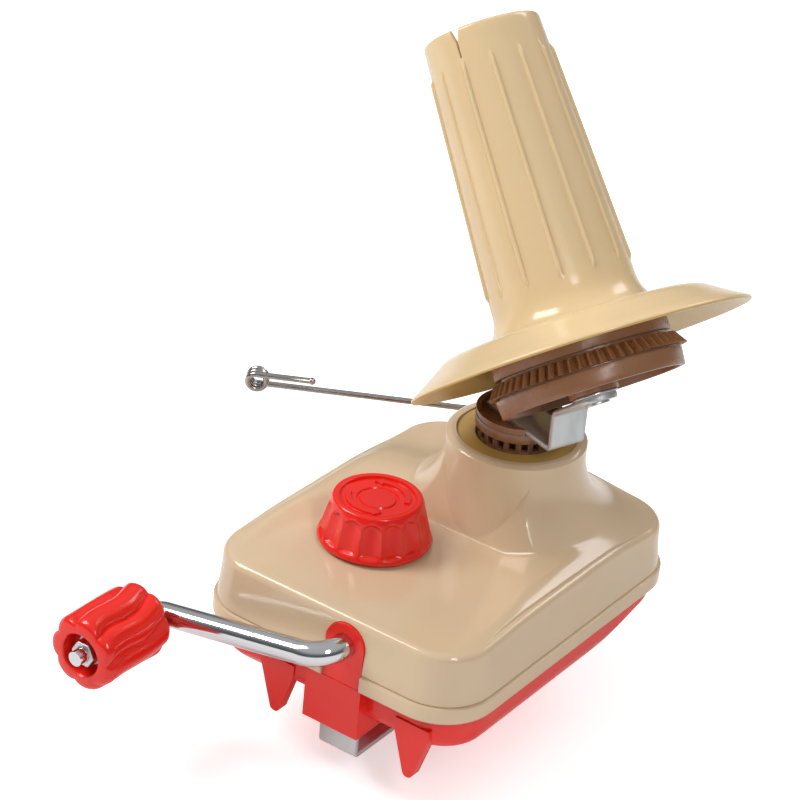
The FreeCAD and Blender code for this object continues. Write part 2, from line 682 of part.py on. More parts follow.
def make_drive_gear():
    cone_distance, face = sheet_value("drive_cone"), sheet_value("drive_face")
    pitch, tip, root = bevel_angles(DRIVE_TEETH, PINION_TEETH, 90, cone_distance)
    space_on_top = math.pi / 2 + math.pi / DRIVE_TEETH
    teeth = bevel_teeth(DRIVE_TEETH, PINION_TEETH, 90, cone_distance, face, space_on_top)
    turned_down = spin_cylinder(cone_distance * math.sin(pitch) - 0.1, 0, 60)
    face_height = cone_distance * math.cos(pitch)
    rim = spin_cylinder(cone_distance * math.sin(root) - 2.7, face_height - 0.01, face_height + 3.0)
    hub = spin_cylinder(8.0, face_height + 1, face_height + 16)
    bore = spin_cylinder(sheet_value("rod_radius"), 0, 60)
    pin = Part.makeCylinder(1.25, 24, FreeCAD.Vector(-12, 0, 19.5), X_AXIS)
    dish = spin_cylinder(cone_distance * math.sin(root) - 9.5, 0, face_height - 0.8)
    shape = teeth.common(turned_down).fuse([rim, hub]).cut(bore.fuse([pin, dish]))
    spot = FreeCAD.Vector(0, 0, sheet_value("crank_height"))
    return gear_node(shape, "drive_gear", FreeCAD.Placement(spot, FreeCAD.Rotation(X_AXIS, 90)))


def make_drive_gear_pin():
    pin = cylinder("drive_gear_pin", 1.25, 16.0, -8, -19.5, dim.crank_height, "X")
    return node(pin, "drive_gear_pin")


def make_drive_pinion():
    cone_distance, face = sheet_value("drive_cone"), sheet_value("drive_face")
    pitch = bevel_angles(PINION_TEETH, DRIVE_TEETH, 90, cone_distance)[0]
    teeth = bevel_teeth(PINION_TEETH, DRIVE_TEETH, 90, cone_distance, face, -math.pi / 2)
    large_end = cone_distance * math.cos(pitch)
    crank = sheet_value("crank_height")
    sleeve_top = sheet_value("skirt_bottom") - crank
    sleeve = spin_cylinder(sheet_value("sleeve_radius"), large_end - 0.01, sleeve_top)
    tip = spin_cylinder(sheet_value("sleeve_tip_radius"), large_end, sheet_value("cup_floor") + 2.0 - crank)
    bore = spin_cylinder(sheet_value("post_radius") + sheet_value("running_gap"), 0, 60)
    shape = teeth.fuse([sleeve, tip]).cut(bore)
    spot = FreeCAD.Placement(FreeCAD.Vector(0, 0, crank), FreeCAD.Rotation())
    return gear_node(shape, "drive_pinion", spot)


def make_sun_gear():
    cone_distance, face = sheet_value("spool_cone"), sheet_value("spool_face")
    tilt = sheet_value("spool_tilt")
    teeth = bevel_teeth(SUN_TEETH, SPOOL_TEETH, tilt, cone_distance, face, 0)
    pitch = bevel_angles(SUN_TEETH, SPOOL_TEETH, tilt, cone_distance)[0]
    large_end = cone_distance * math.cos(pitch)
    apex = sheet_value("apex_height")
    boss = spin_cylinder(5.0, large_end - 0.01, apex - sheet_value("cup_floor") - 2.2)
    bore = spin_cylinder(sheet_value("post_neck_radius"), 0, 90)
    shape = teeth.fuse(boss).cut(bore)
    turn = FreeCAD.Rotation(X_AXIS, 180).multiply(FreeCAD.Rotation(Z_AXIS, -sheet_value("arm_heading")))
    return gear_node(shape, "sun_gear", FreeCAD.Placement(FreeCAD.Vector(0, 0, apex), turn))


def spool_placement():
    """Frame of the tilted spool: origin at the common apex, +Z out through the top of the spool."""
    heading = FreeCAD.Rotation(Z_AXIS, number(dim.arm_heading))
    tilt = FreeCAD.Rotation(Y_AXIS, -number(dim.spool_tilt))
    return FreeCAD.Placement(FreeCAD.Vector(0, 0, number(dim.apex_height)), heading.multiply(tilt))


def arm_placement():
    return FreeCAD.Placement(FreeCAD.Vector(), FreeCAD.Rotation(Z_AXIS, number(dim.arm_heading)))


def tilt_into_place(thing):
    thing.Placement = spool_placement()
    thing.setExpression("Placement.Base.z", dim.apex_height.text)
    return thing


def make_spool_gear():
    cone_distance, face = sheet_value("spool_cone"), sheet_value("spool_face")
    tilt = sheet_value("spool_tilt")
    pitch, tip, root = bevel_angles(SPOOL_TEETH, SUN_TEETH, tilt, cone_distance)
    teeth = bevel_teeth(SPOOL_TEETH, SUN_TEETH, tilt, cone_distance, face, math.pi / SPOOL_TEETH)
    small_end = (cone_distance - face) * math.cos(pitch)
    large_end = cone_distance * math.cos(pitch)
    top, bottom = sheet_value("flange_top"), sheet_value("flange_bottom")
    plate_underside = sheet_value("plate_flat_depth") + sheet_value("plate_wall")
    hub = spin_cylinder(sheet_value("gear_hub_radius"), plate_underside, small_end - 1.2)
    waist = spin_cylinder(26.5, small_end - 1.3, top + 0.1)
    flange = Part.makeCone(
        sheet_value("flange_top_radius"), sheet_value("flange_bottom_radius"), bottom - top,
        FreeCAD.Vector(0, 0, top), Z_AXIS)
    neck = spin_cylinder(28.8, large_end - 0.1, top + 0.1)
    hollow = spin_cylinder(25.0, small_end + 3.0, bottom + 1)
    mouth = spin_cylinder(sheet_value("flange_mouth_radius"), top + 1.8, bottom + 1)
    boss = spin_cylinder(8.0, small_end, sheet_value("seat_depth") - 0.9)
    bore = spin_cylinder(sheet_value("axle_radius") + sheet_value("running_gap"), 0, 90)
    shape = teeth.fuse([hub, waist, flange, neck]).cut(hollow.fuse(mouth)).fuse(boss).cut(bore)
    flip = FreeCAD.Placement(FreeCAD.Vector(), FreeCAD.Rotation(X_AXIS, 180))
    spin = FreeCAD.Placement(FreeCAD.Vector(), FreeCAD.Rotation(Z_AXIS, 180))
    return gear_node(shape, "spool_gear", spool_placement().multiply(flip).multiply(spin))


# ---------------------------------------------------------------- spindle and turning arm

def make_center_post():
    low = cylinder("post_low", dim.post_radius, dim.cup_floor + 2.2 - 5.6, 0, 0, 5.6)
    high = cylinder("post_high", dim.post_neck_radius, 88.5 - dim.cup_floor - 2.2, 0, 0, dim.cup_floor + 2.2)
    thread = cylinder("post_thread", 1.5, 9, 0, 0, 80)
    return node(cut("center_post", fuse("post_solid", low, high), thread), "center_post")


def make_neck_bush():
    flange = cylinder("bush_flange", 11.0, 1.5, 0, 0, dim.dish_floor)
    barrel = cylinder("bush_barrel", dim.bush_radius, 10.0, 0, 0, dim.dish_floor - 10)
    bore = cylinder("bush_bore", dim.sleeve_radius + dim.running_gap, 13, 0, 0, dim.dish_floor - 11)
    return node(cut("neck_bush", fuse("bush_solid", flange, barrel), bore), "neck_bush")


def make_thrust_washer():
    return node(ring("thrust_washer", 10.2, 6.4, 1.0, 0, 0, dim.dish_floor + 1.5), "thrust_washer")


def make_arm_hub():
    hub = cylinder("hub_boss", 8.0, dim.cup_floor - dim.skirt_bottom, 0, 0, dim.skirt_bottom)
    floor = cylinder("cup_floor", dim.cup_radius, dim.cup_floor - dim.cup_bottom, 0, 0, dim.cup_bottom)
    cup_height = dim.cup_top - dim.cup_bottom
    outside = cone("cup_outside", dim.cup_radius - 0.5, dim.cup_radius, cup_height, 0, 0, dim.cup_bottom)
    inside = cylinder("cup_inside", dim.cup_radius - 1.7, 10, 0, 0, dim.cup_bottom - 1)
    wall = cut("cup_wall", outside, inside)
    skirt_height = dim.cup_bottom - dim.skirt_bottom
    skirt = ring("skirt", dim.skirt_radius, dim.skirt_radius - 1.9, skirt_height, 0, 0, dim.skirt_bottom)
    solid = fuse("hub_solid", hub, floor, wall, skirt)
    windows = []
    for angle in around(SKIRT_WINDOWS, 9.0):
        window = box("window", 9.5, 14.0, -1.1, 1.1, dim.window_bottom, dim.cup_bottom - 0.4)
        windows.append(turned(window, angle))
    bore = cylinder("hub_bore", dim.sleeve_tip_radius, 20, 0, 0, dim.skirt_bottom - 1)
    half = dim.arm_width * 0.5 + 0.1
    notch = box("arm_notch", 5, 16, -half, half, dim.cup_floor, dim.cup_top + 1)
    hub_node = cut("arm_hub", solid, bore, notch, *windows)
    hub_node.Placement = arm_placement()
    return node(hub_node, "arm_hub")


def make_arm_bracket():
    half = dim.arm_width * 0.5
    sheet = dim.arm_sheet
    lower = box("lower_leg", -9.0, dim.arm_reach, -half, half, dim.cup_floor, dim.cup_floor + sheet)
    web = box("arm_web", dim.arm_reach - sheet, dim.arm_reach, -half, half, dim.cup_floor, dim.web_top)
    seat = -dim.seat_depth - sheet
    strip = box("upper_strip", -dim.seat_start, 0, -half, half, seat, -dim.seat_depth)
    round_end = cylinder("upper_end", half, sheet, 0, 0, seat)
    axle_hole = cylinder("axle_hole", dim.axle_radius, 10, 0, 0, -dim.seat_depth - 6)
    upper = cut("upper_leg", fuse("upper_solid", strip, round_end), axle_hole)
    place(upper, 0, 0, dim.apex_height, FreeCAD.Rotation(Y_AXIS, -number(dim.spool_tilt)))
    post_hole = cylinder("sleeve_hole", dim.sleeve_tip_radius, 6, 0, 0, dim.cup_floor - 2)
    bracket = cut("arm_bracket", fuse("arm_strip", lower, web, upper), post_hole)
    bracket.Placement = arm_placement()
    return node(bracket, "arm_bracket")


def make_sun_screw():
    head = cylinder("sun_screw_head", 2.75, 1.7, 0, 0, 88.85)
    shank = cylinder("sun_screw_shank", 1.5, 8.0, 0, 0, 80.9)
    return node(fuse("sun_screw", head, shank), "sun_screw")


def make_spool_axle():
    seat = -dim.seat_depth - dim.arm_sheet
    rivet = cylinder("rivet_head", 4.0, 0.7, 0, 0, seat - 0.7)
    shaft = cylinder("axle_shaft", dim.axle_radius, 36.0, 0, 0, seat)
    return node(tilt_into_place(fuse("spool_axle", rivet, shaft)), "spool_axle")


def make_axle_washer():
    washer = ring("axle_washer", 7.5, dim.axle_radius, 0.8, 0, 0, -dim.seat_depth)
    return node(tilt_into_place(washer), "axle_washer")


def make_axle_clip():
    clip = ring("axle_clip", 6.5, dim.axle_radius, 1.2, 0, 0, -27.9)
    return node(tilt_into_place(clip), "axle_clip")


# ---------------------------------------------------------------- spool

def spool_shell():
    """Section of the umbrella plate and the tapered tube, turned about the spool axis."""
    foot, top, rise, wall = dim.spool_foot_radius, dim.spool_top_radius, dim.spool_rise, dim.plate_wall
    flat, rim, crease = -dim.plate_flat_depth, -dim.plate_rim_depth, dim.plate_crease_radius
    skin = dim.shell_wall
    return revolved_body("spool_shell", [
        (3.1, flat - wall), (crease - 1.3, flat - wall), (dim.plate_radius - 0.3, rim - 0.9),
        (dim.plate_radius, rim + 0.2), (dim.plate_radius - 0.7, rim + 0.9), (crease, flat),
        (foot + 4.0, flat), (foot, flat + 11.0, 17.5, -1), (top, rise - 1.5), (top - 1.2, rise),
        (top - skin, rise), (foot - skin, flat + 11.0), (foot - skin, flat + wall),
        (8.0, flat + wall), (8.0, -28.0), (3.1, -28.0)])


def make_winding_spool():
    foot, top = number(dim.spool_foot_radius), number(dim.spool_top_radius)
    low, high = number(dim.rib_foot), number(dim.rib_head)
    foot_height = 11.0 - number(dim.plate_flat_depth)
    lean = math.degrees(math.atan2(top - foot, number(dim.spool_rise) - foot_height))
    ribs = []
    for angle in around(SPOOL_RIBS, FIRST_RIB_ANGLE):
        rib = box("rib", 0, 1.9, -0.7, 0.7, 0, high - low)
        place(rib, foot - 1.0, -0.7, low, FreeCAD.Rotation(Y_AXIS, lean))
        ribs.append(turned(rib, angle))
    tip = dim.spool_rise
    notch = box("yarn_notch", 10.0, 26.0, -1.5, 1.5, tip - 4.5, tip + 1)
    slit = box("yarn_slit", 10.0, 26.0, -0.4, 0.4, tip - 9.5, tip - 4.0)
    for tool in (notch, slit):
        turned(tool, FIRST_RIB_ANGLE - 360.0 / SPOOL_RIBS)
    spool = cut("winding_spool", fuse("ribbed_spool", spool_shell(), *ribs), notch, slit)
    return node(tilt_into_place(spool), "winding_spool")


# ---------------------------------------------------------------- yarn guide

def make_yarn_guide():
    """One wire: upright in its bush, a bend, a level arm, an eyelet coil and a tail that turns back."""
    height = sheet_value("guide_height")
    reach = sheet_value("guide_reach")
    wire_radius, loop = sheet_value("wire_radius"), sheet_value("eyelet_radius")
    bend = 5.0
    foot = FreeCAD.Vector(0, 0, sheet_value("deck_height") + 2.0)
    rise = FreeCAD.Vector(0, 0, height - bend)
    corner = FreeCAD.Vector(bend * (1 - math.sqrt(0.5)), 0, height - bend * (1 - math.sqrt(0.5)))
    level = FreeCAD.Vector(bend, 0, height)
    start = FreeCAD.Vector(reach - loop, 0, height)
    coil_pitch = 2.1 * wire_radius
    steps = 60
    coil = []
    for step in range(steps + 1):
        turn = EYELET_TURNS * step / steps
        angle = 2 * math.pi * turn
        across = coil_pitch * turn
        coil.append(start + FreeCAD.Vector(loop * math.sin(angle), across, loop * (1 - math.cos(angle))))
    curve = Part.BSplineCurve()
    curve.interpolate(coil)
    tail_end = coil[-1] - FreeCAD.Vector(sheet_value("guide_tail"), 0, 0)
    edges = [
        Part.makeLine(foot, rise), Part.Arc(rise, corner, level).toShape(), Part.makeLine(level, coil[0]),
        curve.toShape(), Part.makeLine(coil[-1], tail_end)]
    section = Part.Wire(Part.makeCircle(wire_radius, foot, Z_AXIS))
    shape = Part.Wire(edges).makePipeShell([section], True, False)
    feature = doc.addObject("Part::Feature", "yarn_guide")
    feature.Shape = shape
    spot = FreeCAD.Vector(-sheet_value("guide_left"), sheet_value("guide_back"), 0)
    feature.Placement = FreeCAD.Placement(spot, FreeCAD.Rotation(Z_AXIS, sheet_value("guide_heading")))
    return node(feature, "yarn_guide")


def make_guide_bush():
    x, y, z = -dim.guide_left, dim.guide_back, dim.deck_height + 0.5
    barrel = cylinder("guide_barrel", 2.2, 12.5, x, y, z)
    collar = cylinder("guide_collar", 3.6, 1.2, x, y, z + 12.5)
    bore = cylinder("guide_bore", dim.wire_radius + dim.running_gap, 13, x, y, z + 1.5)
    return node(cut("guide_bush", fuse("guide_bush_solid", barrel, collar), bore), "guide_bush")


# ---------------------------------------------------------------- document

MAKERS = [
    make_top_cover, make_base_tray, make_cover_screws,
    make_clamp_bracket, make_clamp_nut, make_clamp_screw, make_clamp_washer, make_clamp_knob,
    make_crank_handle, make_crank_grip, make_grip_washer, make_grip_nut, make_shaft_clip,
    make_drive_gear, make_drive_gear_pin, make_drive_pinion, make_sun_gear, make_spool_gear,
    make_center_post, make_neck_bush, make_thrust_washer, make_arm_hub, make_arm_bracket,
    make_sun_screw, make_spool_axle, make_axle_washer, make_axle_clip, make_winding_spool,
    make_yarn_guide, make_guide_bush,
]


def check_document():
    for item in doc.Objects:
        if "Invalid" in item.State or "Error" in item.State:
            raise RuntimeError("%s (%s) did not build: %s" % (item.Name, item.Label, item.State))
    for item in nodes:
        if item.Shape.isNull() or not item.Shape.isValid():
            raise RuntimeError(item.Label + " has no valid shape")


def main():
    make_sheet()
    for maker in MAKERS:
        maker()
    doc.recompute()
    check_document()
    os.makedirs("parts", exist_ok=True)
    for item in nodes:
        item.Shape.exportStep("parts/%s.step" % item.Label)
        print("%-16s solids %d volume %9.1f" % (item.Label, len(item.Shape.Solids), item.Shape.Volume))


main()
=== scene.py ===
import json
import math

import bmesh
import bpy
from mathutils import Matrix, Vector


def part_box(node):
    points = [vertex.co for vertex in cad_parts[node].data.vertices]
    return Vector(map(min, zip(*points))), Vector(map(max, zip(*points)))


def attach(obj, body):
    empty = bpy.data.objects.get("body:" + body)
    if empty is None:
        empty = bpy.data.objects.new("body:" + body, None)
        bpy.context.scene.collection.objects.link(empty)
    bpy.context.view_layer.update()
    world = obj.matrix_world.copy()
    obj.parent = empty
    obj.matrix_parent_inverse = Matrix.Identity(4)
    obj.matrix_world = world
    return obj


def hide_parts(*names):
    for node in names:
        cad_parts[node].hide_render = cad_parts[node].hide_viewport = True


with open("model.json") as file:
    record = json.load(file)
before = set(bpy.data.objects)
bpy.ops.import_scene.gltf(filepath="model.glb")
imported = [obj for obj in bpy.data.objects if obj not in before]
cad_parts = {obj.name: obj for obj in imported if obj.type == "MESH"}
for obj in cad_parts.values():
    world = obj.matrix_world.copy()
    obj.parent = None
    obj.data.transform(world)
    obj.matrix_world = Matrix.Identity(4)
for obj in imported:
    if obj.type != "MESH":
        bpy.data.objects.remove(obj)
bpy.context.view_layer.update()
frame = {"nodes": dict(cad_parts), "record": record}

# A hand-cranked yarn ball winder. Lengths are millimetres in the frame shared with the CAD;
# make_piece() and cutter() turn them into metres.
MM = 0.001
TURN = 2 * math.pi


def box_mm(node):
    low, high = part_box(node)
    return low / MM, high / MM


COVER_LOW, COVER_HIGH = box_mm("top_cover")
KNOB_LOW, KNOB_HIGH = box_mm("clamp_knob")
GRIP_LOW, GRIP_HIGH = box_mm("crank_grip")
BUSH_LOW, BUSH_HIGH = box_mm("guide_bush")
CUP_TOP = box_mm("arm_hub")[1].z
JAW_LOW = box_mm("clamp_bracket")[0]
KNOB_X = (KNOB_LOW.x + KNOB_HIGH.x) / 2
KNOB_Y = (KNOB_LOW.y + KNOB_HIGH.y) / 2


# ---------------------------------------------------------------- small maths

def clamp01(value):
    return min(1.0, max(0.0, value))


def smooth_step(low, high, value):
    part = clamp01((value - low) / (high - low))
    return part * part * (3 - 2 * part)


def soft_min(first, second, reach):
    gap = max(reach - abs(first - second), 0.0) / reach
    return min(first, second) - gap * gap * reach / 4


def soft_max(first, second, reach):
    return -soft_min(-first, -second, reach)


def along(points, value):
    """Straight-line reading of a list of (input, output) pairs."""
    for (x_low, y_low), (x_high, y_high) in zip(points, points[1:]):
        if value <= x_high:
            part = clamp01((value - x_low) / (x_high - x_low))
            return y_low + (y_high - y_low) * part
    return points[-1][1]


def circle(radius, height, count, start=0.0):
    step = TURN / count
    return [
        Vector((radius * math.cos(start + i * step), radius * math.sin(start + i * step), height))
        for i in range(count)]


def quarter(centre_r, centre_z, radius, first, last, steps):
    """Points (r, z) of an arc from angle first to angle last, in degrees."""
    points = []
    for i in range(steps + 1):
        angle = math.radians(first + (last - first) * i / steps)
        points.append((centre_r + radius * math.cos(angle), centre_z + radius * math.sin(angle)))
    return points


# ---------------------------------------------------------------- materials

def new_material(name):
    material = bpy.data.materials.new(name)
    material.use_nodes = True
    tree = material.node_tree
    return material, tree, tree.nodes["Principled BSDF"]


def noise(tree, scale, detail=3.0, stretch=(1, 1, 1)):
    place = tree.nodes.new("ShaderNodeTexCoord")
    mapping = tree.nodes.new("ShaderNodeMapping")
    mapping.inputs["Scale"].default_value = stretch
    tree.links.new(place.outputs["Object"], mapping.inputs["Vector"])
    texture = tree.nodes.new("ShaderNodeTexNoise")
    texture.inputs["Scale"].default_value = scale
    texture.inputs["Detail"].default_value = detail
    tree.links.new(mapping.outputs["Vector"], texture.inputs["Vector"])
    return texture.outputs["Fac"]


def ramp(tree, source, low, high):
    """Maps the middle part of a noise, 0.3 to 0.7, to low..high."""
    item = tree.nodes.new("ShaderNodeMapRange")
    item.inputs["From Min"].default_value = 0.3
    item.inputs["From Max"].default_value = 0.7
    item.inputs["To Min"].default_value = low
    item.inputs["To Max"].default_value = high
    tree.links.new(source, item.inputs["Value"])
    return item.outputs["Result"]


def tint(tree, shader, colour, source, spread):
    """Colour that drifts a little lighter and darker with a noise."""
    mix = tree.nodes.new("ShaderNodeMix")
    mix.data_type = "RGBA"
    mix.inputs[6].default_value = [value * (1 - spread) for value in colour] + [1]
    mix.inputs[7].default_value = [min(1, value * (1 + spread)) for value in colour] + [1]
    tree.links.new(source, mix.inputs["Factor"])
    tree.links.new(mix.outputs[2], shader.inputs["Base Color"])


def bump(tree, shader, source, depth):
    item = tree.nodes.new("ShaderNodeBump")
    item.inputs["Strength"].default_value = 0.6
    item.inputs["Distance"].default_value = depth * MM
    tree.links.new(source, item.inputs["Height"])
    tree.links.new(item.outputs["Normal"], shader.inputs["Normal"])


def plastic(name, colour, roughness, glow=0.0, wear=0.04, grain=0.006):
    material, tree, shader = new_material(name)
    tint(tree, shader, colour, noise(tree, 60), wear)
    polish = ramp(tree, noise(tree, 350), roughness * 0.85, roughness * 1.2)
    tree.links.new(polish, shader.inputs["Roughness"])
    bump(tree, shader, noise(tree, 420, 2.0), grain)
    shader.inputs["Subsurface Weight"].default_value = glow
    shader.inputs["Subsurface Radius"].default_value = (0.004, 0.0025, 0.0012)
    shader.inputs["Subsurface Scale"].default_value = 0.6
    shader.inputs["Specular IOR Level"].default_value = 0.55
    return material


def metal(name, colour, roughness, grain, scale, stretch=(1, 1, 1), metallic=1.0):
    material, tree, shader = new_material(name)
    shader.inputs["Metallic"].default_value = metallic
    tint(tree, shader, colour, noise(tree, 90), 0.06)
    source = noise(tree, scale, 4.0, stretch)
    tree.links.new(ramp(tree, source, roughness * 0.7, roughness * 1.5), shader.inputs["Roughness"])
    bump(tree, shader, source, grain)
    return material


MATERIALS = {
    "beige_plastic": plastic("beige_plastic", (0.665, 0.505, 0.335), 0.15, glow=0.08),
    "cream_plastic": plastic("cream_plastic", (0.74, 0.56, 0.325), 0.17, glow=0.2),
    "red_plastic": plastic("red_plastic", (0.83, 0.014, 0.006), 0.20, wear=0.04),
    "brown_plastic": plastic("brown_plastic", (0.29, 0.135, 0.065), 0.30, wear=0.08, grain=0.003),
    "white_nylon": plastic("white_nylon", (0.72, 0.70, 0.62), 0.40, glow=0.2),
    # Painted shade and bounce glow: a darker golden colour for the neck's dish and the spool plate's
    # underside, where shade falls and light bounces.
    "painted_golden_shade": plastic("painted_golden_shade", (0.56, 0.36, 0.10), 0.22, glow=0.1),
    "zinc_steel": metal("zinc_steel", (0.60, 0.62, 0.63), 0.40, 0.010, 400, (1, 1, 0.3), metallic=0.7),
    "plated_rod": metal("plated_rod", (0.66, 0.67, 0.70), 0.10, 0.03, 300),
    "steel": metal("steel", (0.60, 0.60, 0.60), 0.30, 0.02, 700),
    "wire_steel": metal("wire_steel", (0.42, 0.41, 0.40), 0.22, 0.003, 260, (1, 1, 0.2)),
}


# ---------------------------------------------------------------- pieces

CRISP = 32


def make_piece(name, points, faces, slot, body, sharp=CRISP):
    """A mesh in millimetres that rides on a body and takes its finish from a record slot."""
    mesh = bpy.data.meshes.new(name)
    mesh.from_pydata([Vector(point) * MM for point in points], [], faces)
    shape = bmesh.new()
    shape.from_mesh(mesh)
    bmesh.ops.remove_doubles(shape, verts=shape.verts, dist=0.002 * MM)
    bmesh.ops.recalc_face_normals(shape, faces=shape.faces)
    shape.to_mesh(mesh)
    shape.free()
    item = bpy.data.objects.new(name, mesh)
    bpy.context.scene.collection.objects.link(item)
    mesh.materials.append(MATERIALS[slot])
    soften(mesh, sharp)
    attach(item, body)
    return item


def soften(mesh, sharp):
    """Smooth shading that keeps edges steeper than the given angle crisp."""
    shape = bmesh.new()
    shape.from_mesh(mesh)
    limit = math.radians(sharp)
    for face in shape.faces:
        face.smooth = True
    for edge in shape.edges:
        edge.smooth = len(edge.link_faces) == 2 and edge.calc_face_angle(0.0) < limit
    shape.to_mesh(mesh)
    shape.free()


def lattice(loops, close_loops=False, cap_first=False, cap_last=False):
    """Points and faces of a skin over equal loops of points."""
    count = len(loops[0])
    points = [point for loop in loops for point in loop]
    faces = []
    rows = len(loops) if close_loops else len(loops) - 1
    for row in range(rows):
        here, there = row * count, (row + 1) % len(loops) * count
        for i in range(count):
            j = (i + 1) % count
            faces.append((here + i, here + j, there + j, there + i))
    if cap_first:
        faces.append(tuple(range(count - 1, -1, -1)))
    if cap_last:
        faces.append(tuple(range((len(loops) - 1) * count, len(loops) * count)))
    return points, faces


def placed(points, place):
    return [place @ Vector(point) for point in points]


def prism(outline, ends, corner):
    """Solid over a flat outline of (u, v) points, from one end to the other along the third way."""
    loops = [[Vector(corner(u, v, end)) for u, v in outline] for end in ends]
    return lattice(loops, cap_first=True, cap_last=True)


def joined(solids):
    """Points and faces of several solids as one."""
    points, faces = [], []
    for some_points, some_faces in solids:
        faces += [tuple(index + len(points) for index in face) for face in some_faces]
        points += some_points
    return points, faces


def carve(item, *tools):
    """Takes the tools' shapes out of a piece for good and removes the tools."""
    for tool in tools:
        modifier = item.modifiers.new("cut", "BOOLEAN")
        modifier.operation = "DIFFERENCE"
        modifier.solver = "EXACT"
        modifier.object = tool
    bpy.context.view_layer.update()
    graph = bpy.context.evaluated_depsgraph_get()
    mesh = bpy.data.meshes.new_from_object(item.evaluated_get(graph))
    item.modifiers.clear()
    item.data = mesh
    soften(mesh, CRISP)
    for tool in tools:
        bpy.data.objects.remove(tool)


def cutter(points, faces):
    """A closed solid, in millimetres, for carve()."""
    mesh = bpy.data.meshes.new("cutter")
    mesh.from_pydata([Vector(point) * MM for point in points], [], faces)
    shape = bmesh.new()
    shape.from_mesh(mesh)
    bmesh.ops.recalc_face_normals(shape, faces=shape.faces)
    shape.to_mesh(mesh)
    shape.free()
    item = bpy.data.objects.new("cutter", mesh)
    bpy.context.scene.collection.objects.link(item)
    return item


def paint_shade_on_faces(item, painted_shade_slot, chosen, place=Matrix.Identity(4)):
    """Gives the faces picked by chosen(centre_mm, normal) a second material, here a painted golden shade and
    bounce glow.
    """
    item.data.materials.append(MATERIALS[painted_shade_slot])
    back = place.inverted()
    turn = back.to_3x3()
    for face in item.data.polygons:
        if chosen(back @ (face.center / MM), turn @ face.normal):
            face.material_index = 1


# ---------------------------------------------------------------- cover

RAYS = 360
DECK_ROWS = 96
CORNER = 19.0
WALL = 2.2

NECK_R = 23.1
NECK_TOP = COVER_HIGH.z
DISH_R, WELL_R, WELL_FLOOR = 19.6, 13.4, 60.0
LEDGE_DROP = 0.7
POST_WAY_R, POST_WAY_LOW = 8.0, 51.0
SOCKET_R, SOCKET_TOP = 10.5, 57.0
BELL_START = NECK_TOP - 4.7
BELL_R = 26.4
BELL_CENTRE_R = NECK_R + BELL_R

DECK = 37.0
EDGE_BOTTOM = COVER_LOW.z
LIP_TOP = EDGE_BOTTOM + 5.6
LIP_STEP = 0.5
DRAFT = math.tan(math.radians(5.0))
EDGE_ROUND = 2.6
# The raised shoulders: highest over the middle, lower to the front, the rear and both sides.
CREST = 40.5
CREST_FRONT, CREST_FULL = -84, -46
CREST_BACK, CREST_END, CREST_FALL = -14, 40, 8.0
SIDE_HEIGHT, SIDE_FALL = 36.0, 4.0
SHOULDER_LEFT, SHOULDER_RIGHT, SHOULDER_WIDTH = -49.0, 33.0, 10.0
# The sunken deck: (y, right edge) pairs, mirrored about its middle, with a ramp at the side and the back.
RECESS_MIDDLE = -8.0
RECESS_FOOT = [(-90, 33.0), (-74, 32.3), (-63, 30.8), (-47, 24.8), (-23, 14.4), (0, 10.0)]
RECESS_BACK = -23.5
SIDE_SLOPE, BACK_SLOPE = 0.35, 3.0

FRONT_SLOT_HALF = 7.5
SHAFT_HEIGHT = 27.4
SCREW_HOLE_R = 3.4
GUIDE_HOLE_R = 2.25


def outline_distance(angle, inset):
    """Distance from the neck axis to the cover's rounded outline, moved in by inset."""
    left, right = COVER_LOW.x + inset, COVER_HIGH.x - inset
    front, back = COVER_LOW.y + inset, COVER_HIGH.y - inset
    corner = CORNER - inset
    dx, dy = math.cos(angle), math.sin(angle)
    reach_x = (right if dx > 0 else -left) / max(abs(dx), 1e-9)
    reach_y = (back if dy > 0 else -front) / max(abs(dy), 1e-9)
    reach = min(reach_x, reach_y)
    centre_x = right - corner if dx > 0 else left + corner
    centre_y = back - corner if dy > 0 else front + corner
    x, y = reach * dx, reach * dy
    if (x - centre_x) * math.copysign(1, dx) > 0 and (y - centre_y) * math.copysign(1, dy) > 0:
        middle = centre_x * dx + centre_y * dy
        off = centre_x ** 2 + centre_y ** 2 - middle ** 2
        reach = middle + math.sqrt(max(corner ** 2 - off, 0.0))
    return reach


def bell_height(radius):
    side = min(max(BELL_CENTRE_R - radius, 0.0), BELL_R)
    return BELL_START - math.sqrt(BELL_R ** 2 - side ** 2)


def shoulder_height(x, y):
    crest = DECK + (CREST - DECK) * smooth_step(CREST_FRONT, CREST_FULL, y)
    crest -= CREST_FALL * smooth_step(CREST_BACK, CREST_END, y)
    edge = min(crest, SIDE_HEIGHT - SIDE_FALL * smooth_step(0, CREST_END, y))
    out = max((x - SHOULDER_RIGHT) / SHOULDER_WIDTH, (SHOULDER_LEFT - x) / SHOULDER_WIDTH, 0.0)
    return crest - (crest - edge) * min(out, 1.1) ** 1.6


def recess_height(x, y):
    foot = along(RECESS_FOOT, y)
    side = abs(x - RECESS_MIDDLE) - (foot - RECESS_MIDDLE)
    ramp_side = DECK + SIDE_SLOPE * side
    ramp_back = DECK + BACK_SLOPE * (y - RECESS_BACK)
    return soft_max(soft_max(DECK, ramp_side, 0.8), ramp_back, 1.6)


def cover_height(x, y):
    dome = soft_max(bell_height(math.hypot(x, y)), shoulder_height(x, y), 2.0)
    return soft_min(dome, recess_height(x, y), 0.8)


def cover_normal(x, y):
    step = 0.15
    slope_x = (cover_height(x + step, y) - cover_height(x - step, y)) / (2 * step)
    slope_y = (cover_height(x, y + step) - cover_height(x, y - step)) / (2 * step)
    return Vector((-slope_x, -slope_y, 1)).normalized()


